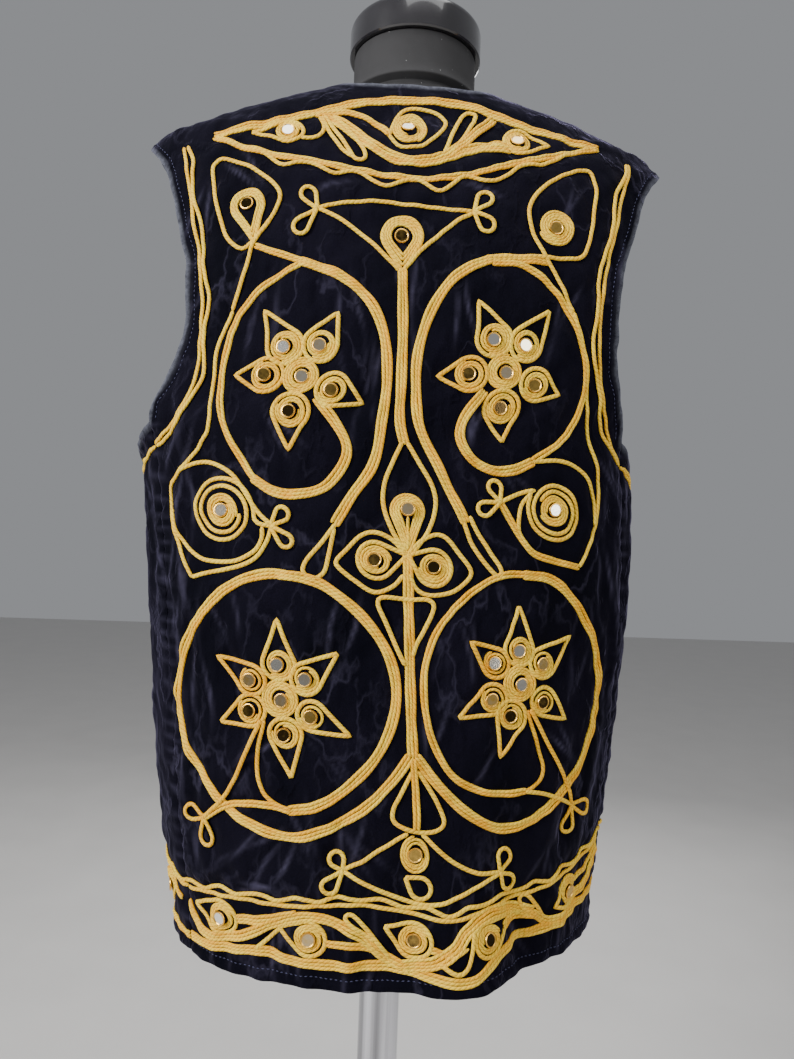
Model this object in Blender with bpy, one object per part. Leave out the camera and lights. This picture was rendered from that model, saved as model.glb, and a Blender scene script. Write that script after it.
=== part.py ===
"""An embroidered velvet vest, open at the front, on a limbless dress form.

The vest hangs on the form's shoulders; the form stands on a steel pole in a plain round base.
Units are metres. +Z is up, +X is the wearer's right, and the back of the vest faces -Y.
The origin is on the floor, under the middle of the pole.

Every place on the cloth is a pair (arc, height): arc is the distance round the body from the
centre back, positive towards +X, and height is the distance above the floor.
"""
import math
from typing import NamedTuple

import bmesh
import bpy
import numpy as np


# Heights above the floor
HEM = 0.620
UNDERARM = 1.064
TIP = 1.328
NECK_POINT = 1.381
BACK_NECK = 1.368
NECKLINE_START = 1.160

# Cut of the cloth
CLOTH = 0.002
SEAM_GAP = 0.0003
NECK_HALF_WIDTH = 0.079
SEAM_ARC_HEM = 0.210
SEAM_ARC_UNDERARM = 0.219
FRONT_GAP = 0.080
BACK_COLUMNS, FRONT_COLUMNS = 30, 13
ROWS_BELOW_ARMHOLE, ROWS_ON_SHOULDER = 12, 7
ROWS_BESIDE_BACK, ROWS_BESIDE_FRONT = 8, 11
SHOULDER_SHARE = 0.13
NECK_SHARE = 0.4

# Embroidery: raised bands and plates that lie just off the cloth
LIFT = 0.0009
HEM_LIFT = 0.0012
EDGE_LIFT = 0.0010
STAR_LIFT = 0.0011
BAND_THICK = 0.0016
PLATE_THICK = 0.0022

# Dress form, pole and base
FORM_BOTTOM = 0.720
NECK_RADIUS = 0.0575
NECK_TOP = 1.4237
FORM_SIDES = 36
CAP_RADIUS, CAP_BOTTOM, CAP_HEIGHT = 0.062, 1.424, 0.030
POLE_RADIUS = 0.019
BASE_RADIUS, BASE_EDGE, BASE_CROWN = 0.170, 0.007, 0.012
COLLAR_RADIUS, COLLAR_TOP = 0.027, 0.045
ROUND_SIDES = 32


class Section(NamedTuple):
    """A level cut through the vest's outer side: a squarish ellipse, deeper behind or in front."""

    height: float
    half_width: float
    back: float
    front: float
    squareness: float
    shift: float
    turn_deg: float


VEST = [
    Section(0.600, 0.194, 0.138, 0.118, 2.00, 0.005, 10.0),
    Section(0.620, 0.195, 0.138, 0.118, 2.00, 0.005, 10.0),
    Section(0.750, 0.210, 0.136, 0.116, 2.10, 0.001, 7.5),
    Section(0.820, 0.215, 0.134, 0.114, 2.20, 0.000, 5.5),
    Section(0.920, 0.222, 0.131, 0.112, 2.30, -0.003, 3.5),
    Section(0.980, 0.2245, 0.129, 0.110, 2.30, -0.0055, 2.3),
    Section(1.030, 0.2265, 0.126, 0.109, 2.30, -0.009, 1.3),
    Section(1.064, 0.230, 0.125, 0.108, 2.30, -0.014, 0.7),
    Section(1.100, 0.232, 0.124, 0.107, 2.30, -0.009, 0.0),
    Section(1.150, 0.235, 0.122, 0.106, 2.30, -0.004, -1.0),
    Section(1.250, 0.243, 0.110, 0.100, 2.30, -0.003, -2.0),
    Section(1.300, 0.245, 0.096, 0.088, 2.30, -0.003, -1.5),
    Section(1.318, 0.238, 0.088, 0.081, 2.30, -0.004, -1.0),
    Section(1.328, 0.230, 0.083, 0.077, 2.30, -0.004, -0.8),
    Section(1.333, 0.217, 0.081, 0.075, 2.25, -0.004, -0.6),
    Section(1.346, 0.188, 0.0775, 0.072, 2.20, -0.002, -0.5),
    Section(1.356, 0.163, 0.073, 0.069, 2.15, 0.000, -0.3),
    Section(1.366, 0.132, 0.067, 0.065, 2.10, 0.000, 0.0),
    Section(1.373, 0.108, 0.064, 0.062, 2.00, 0.000, 0.0),
    Section(1.381, 0.079, 0.061, 0.060, 2.00, 0.000, 0.0),
    Section(1.387, 0.060, 0.059, 0.058, 2.00, 0.000, 0.0),
]


class Fold(NamedTuple):
    """A soft ridge that stands out most at the hem and dies away upwards."""

    arc: float
    half_width: float
    stands_out: float
    top: float


FOLDS = [
    Fold(0.030, 0.062, 0.021, 0.790),
    Fold(-0.330, 0.060, 0.012, 0.800),
    Fold(0.350, 0.060, 0.013, 0.780),
]


class ArmholePoint(NamedTuple):
    """A point of an armhole's edge: how far out it lies at a height."""

    height: float
    out: float


BACK_ARMHOLE = [
    ArmholePoint(1.073, 0.216),
    ArmholePoint(1.088, 0.205),
    ArmholePoint(1.109, 0.192),
    ArmholePoint(1.127, 0.1855),
    ArmholePoint(1.144, 0.183),
    ArmholePoint(1.190, 0.184),
    ArmholePoint(1.238, 0.196),
    ArmholePoint(1.290, 0.214),
    ArmholePoint(1.328, 0.230),
]
FRONT_ARMHOLE = [
    ArmholePoint(1.070, 0.226),
    ArmholePoint(1.082, 0.211),
    ArmholePoint(1.100, 0.195),
    ArmholePoint(1.130, 0.177),
    ArmholePoint(1.170, 0.168),
    ArmholePoint(1.220, 0.172),
    ArmholePoint(1.270, 0.192),
    ArmholePoint(1.300, 0.210),
    ArmholePoint(1.328, 0.230),
]


class FormSection(NamedTuple):
    """A level cut through the dress form, below the line where it follows the vest."""

    height: float
    half_width: float
    back: float
    front: float


FORM = [
    FormSection(0.720, 0.148, 0.090, 0.080),
    FormSection(0.727, 0.160, 0.101, 0.090),
    FormSection(0.750, 0.168, 0.107, 0.094),
    FormSection(0.800, 0.170, 0.110, 0.095),
    FormSection(0.860, 0.163, 0.106, 0.090),
    FormSection(0.920, 0.149, 0.097, 0.083),
    FormSection(0.980, 0.138, 0.090, 0.080),
    FormSection(1.040, 0.145, 0.095, 0.086),
    FormSection(1.100, 0.159, 0.103, 0.094),
    FormSection(1.160, 0.170, 0.108, 0.097),
    FormSection(1.220, 0.178, 0.103, 0.093),
    FormSection(1.270, 0.184, 0.094, 0.085),
    FormSection(1.300, 0.187, 0.087, 0.079),
    FormSection(1.320, 0.188, 0.081, 0.074),
    FormSection(1.334, 0.186, 0.076, 0.070),
]


class ShoulderLevel(NamedTuple):
    """A level where the form follows the vest's shoulder, this far inside its outer side."""

    height: float
    inside: float


FORM_SHOULDER = [
    ShoulderLevel(1.346, 0.0040),
    ShoulderLevel(1.356, 0.0040),
    ShoulderLevel(1.366, 0.0048),
    ShoulderLevel(1.374, 0.0064),
    ShoulderLevel(1.380, 0.0075),
]
FORM_SQUARENESS = 2.3
NECK_ROWS = [(1.388, 0.0590), (1.396, NECK_RADIUS), (NECK_TOP, NECK_RADIUS)]


def smooth(xs, ys, x):
    """Smooth curve through a column of a table that never overshoots it."""
    xs, ys = np.asarray(xs, float), np.asarray(ys, float)
    step = np.diff(xs)
    rise = np.diff(ys) / step
    slope = np.zeros(len(xs))
    slope[0], slope[-1] = rise[0], rise[-1]
    for k in range(1, len(xs) - 1):
        if rise[k - 1] * rise[k] > 0:
            before, after = 2 * step[k] + step[k - 1], step[k] + 2 * step[k - 1]
            slope[k] = (before + after) / (before / rise[k - 1] + after / rise[k])
    x = np.clip(x, xs[0], xs[-1])
    k = np.clip(np.searchsorted(xs, x) - 1, 0, len(step) - 1)
    t = (x - xs[k]) / step[k]
    start = (2 * t**3 - 3 * t**2 + 1) * ys[k] + (t**3 - 2 * t**2 + t) * step[k] * slope[k]
    end = (3 * t**2 - 2 * t**3) * ys[k + 1] + (t**3 - t**2) * step[k] * slope[k + 1]
    return start + end


def vest_section(height):
    """The vest's section values at any heights, in the order of Section."""
    heights = [row.height for row in VEST]
    return [smooth(heights, [row[c] for row in VEST], height) for c in range(1, 7)]


def section_point(angle, height):
    """Plan place at an angle round the section, 0 at the centre back, before shift and turn."""
    half_width, back, front, squareness, _, _ = vest_section(height)
    power = 2.0 / squareness
    sine, cosine = np.sin(angle), np.cos(angle)
    x = half_width * np.sign(sine) * np.abs(sine) ** power
    y = np.where(cosine > 0, -back, front) * np.abs(cosine) ** power
    return x, y


# Table that turns a distance along the section into the angle there
TABLE_HEIGHTS = np.arange(0.600, 1.3865, 0.004)
TABLE_ARCS = np.linspace(-0.62, 0.62, 621)


def arc_table():
    """Angles at each table height and arc, and half the girth at each height."""
    angles = np.zeros((len(TABLE_HEIGHTS), len(TABLE_ARCS)))
    half_girths = np.zeros(len(TABLE_HEIGHTS))
    fine = np.linspace(-math.pi, math.pi, 1441)
    for k, height in enumerate(TABLE_HEIGHTS):
        x, y = section_point(fine, np.full_like(fine, height))
        arcs = np.concatenate([[0.0], np.cumsum(np.hypot(np.diff(x), np.diff(y)))])
        arcs -= arcs[-1] / 2
        angles[k] = np.interp(TABLE_ARCS, arcs, fine)
        half_girths[k] = arcs[-1]
    return angles, half_girths


TABLE_ANGLES, TABLE_HALF_GIRTHS = arc_table()


def half_girth(height):
    """Arc from the centre back to the centre front."""
    return np.interp(height, TABLE_HEIGHTS, TABLE_HALF_GIRTHS)


def between(values, grid):
    """Row of the grid below each value, and the share of the way to the next row."""
    place = np.clip((values - grid[0]) / (grid[1] - grid[0]), 0, len(grid) - 1.001)
    row = place.astype(int)
    return row, place - row


def angle_at(arc, height):
    """Angle round the section at an arc and a height."""
    k, a = between(height, TABLE_HEIGHTS)
    j, b = between(arc, TABLE_ARCS)
    low = (1 - b) * TABLE_ANGLES[k, j] + b * TABLE_ANGLES[k, j + 1]
    high = (1 - b) * TABLE_ANGLES[k + 1, j] + b * TABLE_ANGLES[k + 1, j + 1]
    return (1 - a) * low + a * high


def fold_height(arc, height):
    """How far the folds push the cloth out."""
    out = np.zeros_like(arc)
    for fold in FOLDS:
        across = np.clip((arc - fold.arc) / fold.half_width, -1, 1)
        along = np.clip((fold.top - height) / (fold.top - HEM), 0, 1.15)
        out = out + fold.stands_out * np.cos(across * math.pi / 2) ** 2 * along**2
    return out


def outer_side(arc, height):
    """Points of the vest's outer side, folds and turn included."""
    x, y = section_point(angle_at(arc, height), height)
    reach = 0.003
    x_before, y_before = section_point(angle_at(arc - reach, height), height)
    x_after, y_after = section_point(angle_at(arc + reach, height), height)
    away_x, away_y = y_after - y_before, x_before - x_after
    length = np.hypot(away_x, away_y)
    out = fold_height(arc, height)
    x = x + out * away_x / length
    y = y + out * away_y / length
    _, _, _, _, shift, turn_deg = vest_section(height)
    c, s = np.cos(np.radians(turn_deg)), np.sin(np.radians(turn_deg))
    return np.stack([shift + x * c - y * s, x * s + y * c, height], axis=-1)


def on_cloth(arc, height, lift=0.0):
    """Points at a distance off the vest's outer side, along its normal."""
    arc, height = np.broadcast_arrays(np.asarray(arc, float), np.asarray(height, float))
    reach = 0.0006
    along = outer_side(arc + reach, height) - outer_side(arc - reach, height)
    up = outer_side(arc, height + reach) - outer_side(arc, height - reach)
    normal = np.cross(along, up)
    normal /= np.linalg.norm(normal, axis=-1, keepdims=True)
    return outer_side(arc, height) + normal * lift


def arc_of(out, height, in_front=False):
    """Arc on the +X side where the section is this far out."""
    half_width, _, _, squareness, _, _ = vest_section(height)
    angle = np.arcsin(np.clip(out / half_width, 0, 1) ** (squareness / 2))
    angle = math.pi - angle if in_front else angle
    low, high = np.zeros_like(angle), np.full_like(angle, 0.61)
    for _ in range(36):
        middle = (low + high) / 2
        short = angle_at(middle, height) < angle
        low, high = np.where(short, middle, low), np.where(short, high, middle)
    return low


def shoulder_arc(height):
    """Arc of the shoulder seam, which runs along the top of the shoulder."""
    height = np.asarray(height, float)
    return arc_of(np.full_like(height, 1.0), height)


def side_seam(height):
    """Arc of the side seam."""
    return np.interp(height, (HEM, UNDERARM), (SEAM_ARC_HEM, SEAM_ARC_UNDERARM))


def armhole_arc(rows, height, in_front):
    """Arc of an armhole's edge, from the underarm to the shoulder's tip."""
    heights = np.array([row.height for row in rows])
    outs = np.array([row.out for row in rows])
    arcs = arc_of(outs, heights, in_front)
    arcs[-1] = shoulder_arc(TIP)
    heights = np.concatenate([[UNDERARM], heights])
    arcs = np.concatenate([[SEAM_ARC_UNDERARM], arcs])
    return smooth(heights, arcs, height)


def back_neckline(x):
    """Height of the back neckline."""
    return BACK_NECK + (NECK_POINT - BACK_NECK) * (np.abs(x) / NECK_HALF_WIDTH) ** 4


def even_steps(arcs, heights, values, shares):
    """Values at even shares of the length of a line of (arc, height) points."""
    steps = np.hypot(np.diff(arcs), np.diff(heights))
    length = np.concatenate([[0.0], np.cumsum(steps)])
    return np.interp(np.asarray(shares) * length[-1], length, values)


def shares_above_underarm(rows, in_front, count):
    """Shares of the way up: even along the armhole, then closer where the shoulder rounds over."""
    fine = np.linspace(0, 1 - SHOULDER_SHARE, 600)
    heights = UNDERARM + fine * (TIP - UNDERARM)
    arcs = armhole_arc(rows, heights, in_front)
    beside = even_steps(arcs, heights, fine, np.linspace(0, 1, count + 1))
    over = np.arange(ROWS_ON_SHOULDER - 1, -1, -1) / ROWS_ON_SHOULDER
    return np.concatenate([beside, 1 - SHOULDER_SHARE * over**2])


def neckline_places(shares):
    """Arc and height at shares of the way along half the back neckline."""
    x = NECK_HALF_WIDTH * np.sin(np.linspace(0, math.pi / 2, 90))
    heights = back_neckline(x)
    arcs = np.minimum(arc_of(x, heights), shoulder_arc(heights))
    arcs[-1] = shoulder_arc(NECK_POINT)
    return even_steps(arcs, heights, arcs, shares), even_steps(arcs, heights, heights, shares)


def back_panel_places():
    """Arc and height of each grid point of the back panel."""
    u = np.linspace(-1, 1, BACK_COLUMNS + 1)
    beside = np.clip(np.abs(u) / NECK_SHARE, 0, 1)
    along_shoulder = np.clip((np.abs(u) - NECK_SHARE) / (1 - NECK_SHARE), 0, 1)
    neck_arc, neck_height = neckline_places(beside)
    top_height = neck_height + (TIP - NECK_POINT) * along_shoulder
    on_seam = shoulder_arc(top_height) - SEAM_GAP / 2
    top_arc = np.sign(u) * np.where(beside < 1, np.minimum(neck_arc, on_seam), on_seam)

    arcs, heights = [], []
    for height in np.linspace(HEM, UNDERARM, ROWS_BELOW_ARMHOLE + 1)[:-1]:
        heights.append(np.full_like(u, height))
        arcs.append(u * (side_seam(height) - SEAM_GAP / 2))
    edge_at_tip = shoulder_arc(TIP) - SEAM_GAP / 2
    for q in shares_above_underarm(BACK_ARMHOLE, False, ROWS_BESIDE_BACK):
        edge = armhole_arc(BACK_ARMHOLE, UNDERARM + q * (TIP - UNDERARM), False) - SEAM_GAP / 2
        heights.append(UNDERARM + q * (top_height - UNDERARM))
        arcs.append(u * edge + (top_arc - u * edge_at_tip) * q**3)
    return np.array(arcs), np.array(heights)


def front_edge(height):
    """Arc of the front edge, which leaves the hem straight and slants to the neck."""
    half_gap = FRONT_GAP / 2
    straight = half_girth(height) - half_gap
    slant = np.clip((height - NECKLINE_START) / (NECK_POINT - NECKLINE_START), 0, 1)
    at_neck = shoulder_arc(NECK_POINT) + SEAM_GAP / 2
    x = half_gap + (NECK_HALF_WIDTH - half_gap) * slant**1.25
    slanted = arc_of(x, height, True)
    slanted = np.maximum(slanted, at_neck)
    return np.where(height < NECKLINE_START, straight, slanted)


def front_panel_places(side):
    """Arc and height of each grid point of a front panel, for the +X side (1) or the -X (-1)."""
    u = np.linspace(0, 1, FRONT_COLUMNS + 1)
    top_height = TIP + (NECK_POINT - TIP) * u
    top_arc = shoulder_arc(top_height) + SEAM_GAP / 2
    arcs, heights = [], []
    for height in np.linspace(HEM, UNDERARM, ROWS_BELOW_ARMHOLE + 1)[:-1]:
        start = side_seam(height) + SEAM_GAP / 2
        heights.append(np.full_like(u, height))
        arcs.append(start + u * (front_edge(height) - start))
    for q in shares_above_underarm(FRONT_ARMHOLE, True, ROWS_BESIDE_FRONT):
        left = armhole_arc(FRONT_ARMHOLE, UNDERARM + q * (TIP - UNDERARM), True) + SEAM_GAP / 2
        right = front_edge(UNDERARM + q * (NECK_POINT - UNDERARM))
        straight = left + u * (right - left)
        ends = top_arc[0] + u * (top_arc[-1] - top_arc[0])
        heights.append(UNDERARM + q * (top_height - UNDERARM))
        arcs.append(straight + (top_arc - ends) * q**3)
    return side * np.array(arcs), np.array(heights)


def material(name, colour, roughness, metallic=0.0):
    """A plain Principled material."""
    made = bpy.data.materials.new(name)
    made.use_nodes = True
    shader = made.node_tree.nodes["Principled BSDF"]
    shader.inputs["Base Color"].default_value = (*colour, 1.0)
    shader.inputs["Roughness"].default_value = roughness
    shader.inputs["Metallic"].default_value = metallic
    made.diffuse_color = (*colour, 1.0)
    return made


def add_object(name, bm, finish, sharp_deg=40.0):
    """Turn a bmesh into a named, smoothly shaded object with its faces pointing out."""
    bmesh.ops.recalc_face_normals(bm, faces=bm.faces)
    if bm.calc_volume(signed=True) < 0:
        bmesh.ops.reverse_faces(bm, faces=bm.faces)
    mesh = bpy.data.meshes.new(name)
    bm.to_mesh(mesh)
    bm.free()
    mesh.materials.append(finish)
    mesh.shade_smooth()
    mesh.set_sharp_from_angle(angle=math.radians(sharp_deg))
    made = bpy.data.objects.new(name, mesh)
    bpy.context.scene.collection.objects.link(made)
    return made


def thicken(bm, outer, inner):
    """Extrude an open sheet into a wall; outer and inner hold a point for each numbered vertex."""
    number = bm.verts.layers.int["number"]
    faces = list(bm.faces)
    made = bmesh.ops.extrude_face_region(bm, geom=faces, use_keep_orig=True)
    copies = {item for item in made["geom"] if isinstance(item, bmesh.types.BMVert)}
    for vert in bm.verts:
        points = inner if vert in copies else outer
        vert.co = points[vert[number]]


def panel(name, places, finish):
    """A cloth panel: a grid laid on the vest's outer side, and a wall inwards from it."""
    arcs, heights = places
    rows, columns = arcs.shape
    bm = bmesh.new()
    number = bm.verts.layers.int.new("number")
    bmesh.ops.create_grid(bm, x_segments=columns - 1, y_segments=rows - 1, size=1.0)
    for vert in bm.verts:
        column = round((vert.co.x + 1) / 2 * (columns - 1))
        row = round((vert.co.y + 1) / 2 * (rows - 1))
        vert[number] = row * columns + column
    outer = on_cloth(arcs, heights).reshape(-1, 3)
    inner = on_cloth(arcs, heights, -CLOTH).reshape(-1, 3)
    thicken(bm, outer, inner)
    return add_object(name, bm, finish)


def loft(name, sections, finish, closed=False, sharp_deg=40.0):
    """Extrude a face through a row of sections, and join the ends when it is a ring."""
    bm = bmesh.new()
    corner = bm.verts.layers.int.new("corner")
    verts = [bm.verts.new(point) for point in sections[0]]
    for k, vert in enumerate(verts):
        vert[corner] = k
    first = last = bm.faces.new(verts)
    for section in sections[1:]:
        before = last
        made = bmesh.ops.extrude_face_region(bm, geom=[before], use_keep_orig=True)["geom"]
        last = next(item for item in made if isinstance(item, bmesh.types.BMFace))
        if before is not first:
            bmesh.ops.delete(bm, geom=[before], context="FACES_ONLY")
        for vert in last.verts:
            vert.co = section[vert[corner]]
    if closed:
        rims = list(first.edges) + list(last.edges)
        bmesh.ops.delete(bm, geom=[first, last], context="FACES_ONLY")
        bmesh.ops.bridge_loops(bm, edges=rims)
    return add_object(name, bm, finish, sharp_deg)


def turned(name, profile, finish, sharp_deg=35.0):
    """Spin a profile of (radius, height) round the pole's axis; its ends are on the axis or meet."""
    bm = bmesh.new()
    verts = [bm.verts.new((radius, 0.0, height)) for radius, height in profile]
    edges = [bm.edges.new(pair) for pair in zip(verts, verts[1:])]
    if profile[0][0] > 0:
        edges.append(bm.edges.new((verts[-1], verts[0])))
    bmesh.ops.spin(
        bm, geom=verts + edges, cent=(0, 0, 0), axis=(0, 0, 1), angle=2 * math.pi,
        steps=ROUND_SIDES, use_merge=True)
    bmesh.ops.remove_doubles(bm, verts=bm.verts, dist=0.00001)
    return add_object(name, bm, finish, sharp_deg)


def spaced(points, step, closed=False):
    """Even points along a smooth curve through a few (arc, height) points."""
    points = np.array(points, float)
    if closed:
        padded = np.vstack([points[-1], points, points[0], points[1]])
    else:
        padded = np.vstack([2 * points[0] - points[1], points, 2 * points[-1] - points[-2]])
    t = np.linspace(0, 1, 24, endpoint=False)[:, None]
    pieces = []
    for a, b, c, d in zip(padded, padded[1:], padded[2:], padded[3:]):
        pieces.append(0.5 * (
            2 * b + (c - a) * t + (2 * a - 5 * b + 4 * c - d) * t**2
            + (3 * b - 3 * c + d - a) * t**3))
    curve = np.vstack(pieces + [points[:1] if closed else points[-1:]])
    length = np.concatenate([[0], np.cumsum(np.hypot(*np.diff(curve, axis=0).T))])
    count = max(3, round(length[-1] / step))
    where = np.linspace(0, length[-1], count + 1)
    if closed:
        where = where[:-1]
    return np.column_stack([np.interp(where, length, curve[:, k]) for k in (0, 1)])


def band(name, points, width, finish, step=0.018, closed=False, lift=LIFT):
    """A flat raised band that follows the cloth along a curve."""
    path = spaced(points, step, closed)
    middle = on_cloth(path[:, 0], path[:, 1])
    normal = on_cloth(path[:, 0], path[:, 1], 1.0) - middle
    if closed:
        ahead = np.roll(middle, -1, axis=0) - np.roll(middle, 1, axis=0)
    else:
        ahead = np.gradient(middle, axis=0)
    across = np.cross(normal, ahead)
    across *= (width / 2) / np.linalg.norm(across, axis=1, keepdims=True)
    low, high = normal * lift, normal * (lift + BAND_THICK)
    sections = np.stack([
        middle - across + low, middle + across + low,
        middle + across + high, middle - across + high], axis=1)
    return loft(name, sections, finish, closed)


def plate(name, centre, outline, finish, sides, rings, lift=LIFT):
    """A flat raised plate on the cloth; outline gives its radius at an angle."""
    bm = bmesh.new()
    number = bm.verts.layers.int.new("number")
    bmesh.ops.create_circle(bm, cap_ends=True, segments=sides, radius=1.0)
    middle = bm.faces[:][0]
    for _ in range(rings - 1):
        bmesh.ops.inset_region(
            bm, faces=[middle], thickness=math.cos(math.pi / sides) / rings, use_boundary=True,
            use_even_offset=True)
    bmesh.ops.poke(bm, faces=[middle])
    arcs, heights = [], []
    for k, vert in enumerate(bm.verts):
        vert[number] = k
        angle = math.atan2(vert.co.y, vert.co.x)
        radius = outline(angle) * vert.co.length
        arcs.append(centre[0] + radius * math.cos(angle))
        heights.append(centre[1] + radius * math.sin(angle))
    arcs, heights = np.array(arcs), np.array(heights)
    thicken(bm, on_cloth(arcs, heights, lift + PLATE_THICK), on_cloth(arcs, heights, lift))
    return add_object(name, bm, finish)


def rosette(name, centre, radius, finish, lift=LIFT):
    """A round boss of coiled cord."""
    return plate(name, centre, lambda angle: radius, finish, sides=10, rings=1, lift=lift)


def star(name, centre, petals, turn_deg, finish):
    """A flower of pointed petals round a middle."""
    def outline(angle):
        petal = abs(math.cos(petals * (angle - math.radians(turn_deg)) / 2))
        return STAR_INNER + (STAR_TIP - STAR_INNER) * petal**1.6

    return plate(name, centre, outline, finish, sides=petals * 6, rings=2, lift=STAR_LIFT)


# Layout of the embroidery on the back: (arc, height) in metres, for the +X half where mirrored
BAND_WIDE, BAND_MIDDLE, BAND_NARROW = 0.010, 0.008, 0.0045
STAR_TIP, STAR_INNER = 0.060, 0.036
ROSETTE_RADIUS, TREFOIL_RADIUS, SMALL_ROSETTE_RADIUS = 0.016, 0.013, 0.012
YOKE_UPPER = [(-0.166, 1.313), (-0.125, 1.325), (-0.072, 1.341), (0.0, 1.348),
              (0.072, 1.341), (0.125, 1.325), (0.166, 1.313)]
YOKE_LOWER = [(-0.160, 1.302), (-0.120, 1.286), (-0.065, 1.272), (0.0, 1.266),
              (0.065, 1.272), (0.120, 1.286), (0.160, 1.302)]
SPINE_UPPER = [(0.0, 1.190), (0.0, 1.120), (0.002, 1.050)]
SPINE_LOWER = [(0.0, 0.935), (0.0, 0.870), (0.0, 0.800)]
OVAL_INNER = [(0.120, 1.203), (0.082, 1.193), (0.042, 1.180), (0.014, 1.130),
              (0.016, 1.060), (0.045, 0.996), (0.073, 0.955)]
OVAL_OUTER = [(0.103, 1.186), (0.134, 1.170), (0.153, 1.128), (0.149, 1.075), (0.128, 1.036),
              (0.097, 1.014), (0.064, 1.022), (0.050, 1.042)]
RING_CENTRE, RING_HALF_WIDTH, RING_HALF_HEIGHT = (0.097, 0.841), 0.088, 0.103
UPPER_STAR, LOWER_STAR = (0.082, 1.105), (0.097, 0.853)
BACK_ARMHOLE_BAND = [(0.200, 1.312), (0.186, 1.250), (0.174, 1.180), (0.171, 1.116),
                     (0.181, 1.078), (0.208, 1.046)]
FRONT_ARMHOLE_BAND_OFFSET = 0.022
HEM_UPPER, HEM_LOWER = 0.684, 0.636
BACK_ROSETTES = {
    "rosette_yoke_centre": (0.0, 1.318), "rosette_yoke_left": (-0.097, 1.313),
    "rosette_yoke_right": (0.097, 1.313), "rosette_corner_left": (-0.130, 1.241),
    "rosette_corner_right": (0.126, 1.236), "rosette_top": (-0.002, 1.217),
    "rosette_trefoil_top": (0.003, 0.991), "rosette_trefoil_left": (-0.024, 0.954),
    "rosette_trefoil_right": (0.025, 0.954), "rosette_spiral_left": (-0.146, 0.993),
    "rosette_spiral_right": (0.136, 0.999), "rosette_low": (-0.003, 0.727),
}
HEM_ROSETTE_ARCS = (-0.170, -0.092, -0.014, 0.062, 0.145)
HEM_ROSETTE_HEIGHT = 0.661
FRONT_STAR_IN, FRONT_STAR_HEIGHT = 0.105, 0.900
FRONT_BAND_IN, FRONT_HEM_BAND_IN = 0.016, 0.028
FRONT_BAND_HEIGHTS = (0.645, 0.75, 0.86, 0.97, 1.07, 1.16, 1.22, 1.28, 1.33)
FRONT_ARMHOLE_HEIGHTS = (1.10, 1.14, 1.18, 1.23, 1.27, 1.305)
FRONT_UNDERARM_BAND = [(0.226, 1.040), (0.256, 1.038), (0.292, 1.055)]
BACK_HEM_END, FRONT_HEM_START = SEAM_ARC_HEM - 0.004, SEAM_ARC_HEM + 0.006


def add_vest(velvet):
    """The three panels that are cut and sewn."""
    panel("back_panel", back_panel_places(), velvet)
    panel("front_left", front_panel_places(-1), velvet)
    panel("front_right", front_panel_places(1), velvet)


def mirrored(points, side):
    """The same points on the +X (1) or the -X (-1) half."""
    return [(side * arc, height) for arc, height in points]


def add_back_embroidery(cord):
    """Raised bands, flowers and rosettes of couched cord on the back."""
    band("yoke_band_upper", YOKE_UPPER, BAND_MIDDLE, cord)
    band("yoke_band_lower", YOKE_LOWER, BAND_MIDDLE, cord)
    band("spine_band_upper", SPINE_UPPER, BAND_WIDE, cord, step=0.03)
    band("spine_band_lower", SPINE_LOWER, BAND_MIDDLE, cord, step=0.03)
    for side, word in ((-1, "left"), (1, "right")):
        band(f"oval_inner_{word}", mirrored(OVAL_INNER, side), BAND_MIDDLE, cord)
        band(f"oval_outer_{word}", mirrored(OVAL_OUTER, side), BAND_MIDDLE, cord)
        turns = np.linspace(0, 2 * math.pi, 12, endpoint=False)
        ring = [(RING_CENTRE[0] + RING_HALF_WIDTH * math.cos(a),
                 RING_CENTRE[1] + RING_HALF_HEIGHT * math.sin(a)) for a in turns]
        band(f"ring_{word}", mirrored(ring, side), BAND_MIDDLE, cord, closed=True)
        star(f"star_upper_{word}", mirrored([UPPER_STAR], side)[0], 5, -90.0, cord)
        star(f"star_lower_{word}", mirrored([LOWER_STAR], side)[0], 6, 90.0, cord)
        band(f"armhole_band_back_{word}", mirrored(BACK_ARMHOLE_BAND, side), BAND_NARROW, cord,
             step=0.012, lift=EDGE_LIFT)
    for name, centre in BACK_ROSETTES.items():
        rosette(name, centre, TREFOIL_RADIUS if "trefoil" in name else ROSETTE_RADIUS, cord)
    for word, height in (("upper", HEM_UPPER), ("lower", HEM_LOWER)):
        line = [(arc, height) for arc in np.linspace(-BACK_HEM_END, BACK_HEM_END, 9)]
        band(f"hem_band_back_{word}", line, BAND_MIDDLE, cord, step=0.014, lift=HEM_LIFT)
    for k, arc in enumerate(HEM_ROSETTE_ARCS):
        rosette(f"rosette_hem_{k + 1}", (arc, HEM_ROSETTE_HEIGHT), SMALL_ROSETTE_RADIUS, cord,
                lift=EDGE_LIFT)


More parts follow.
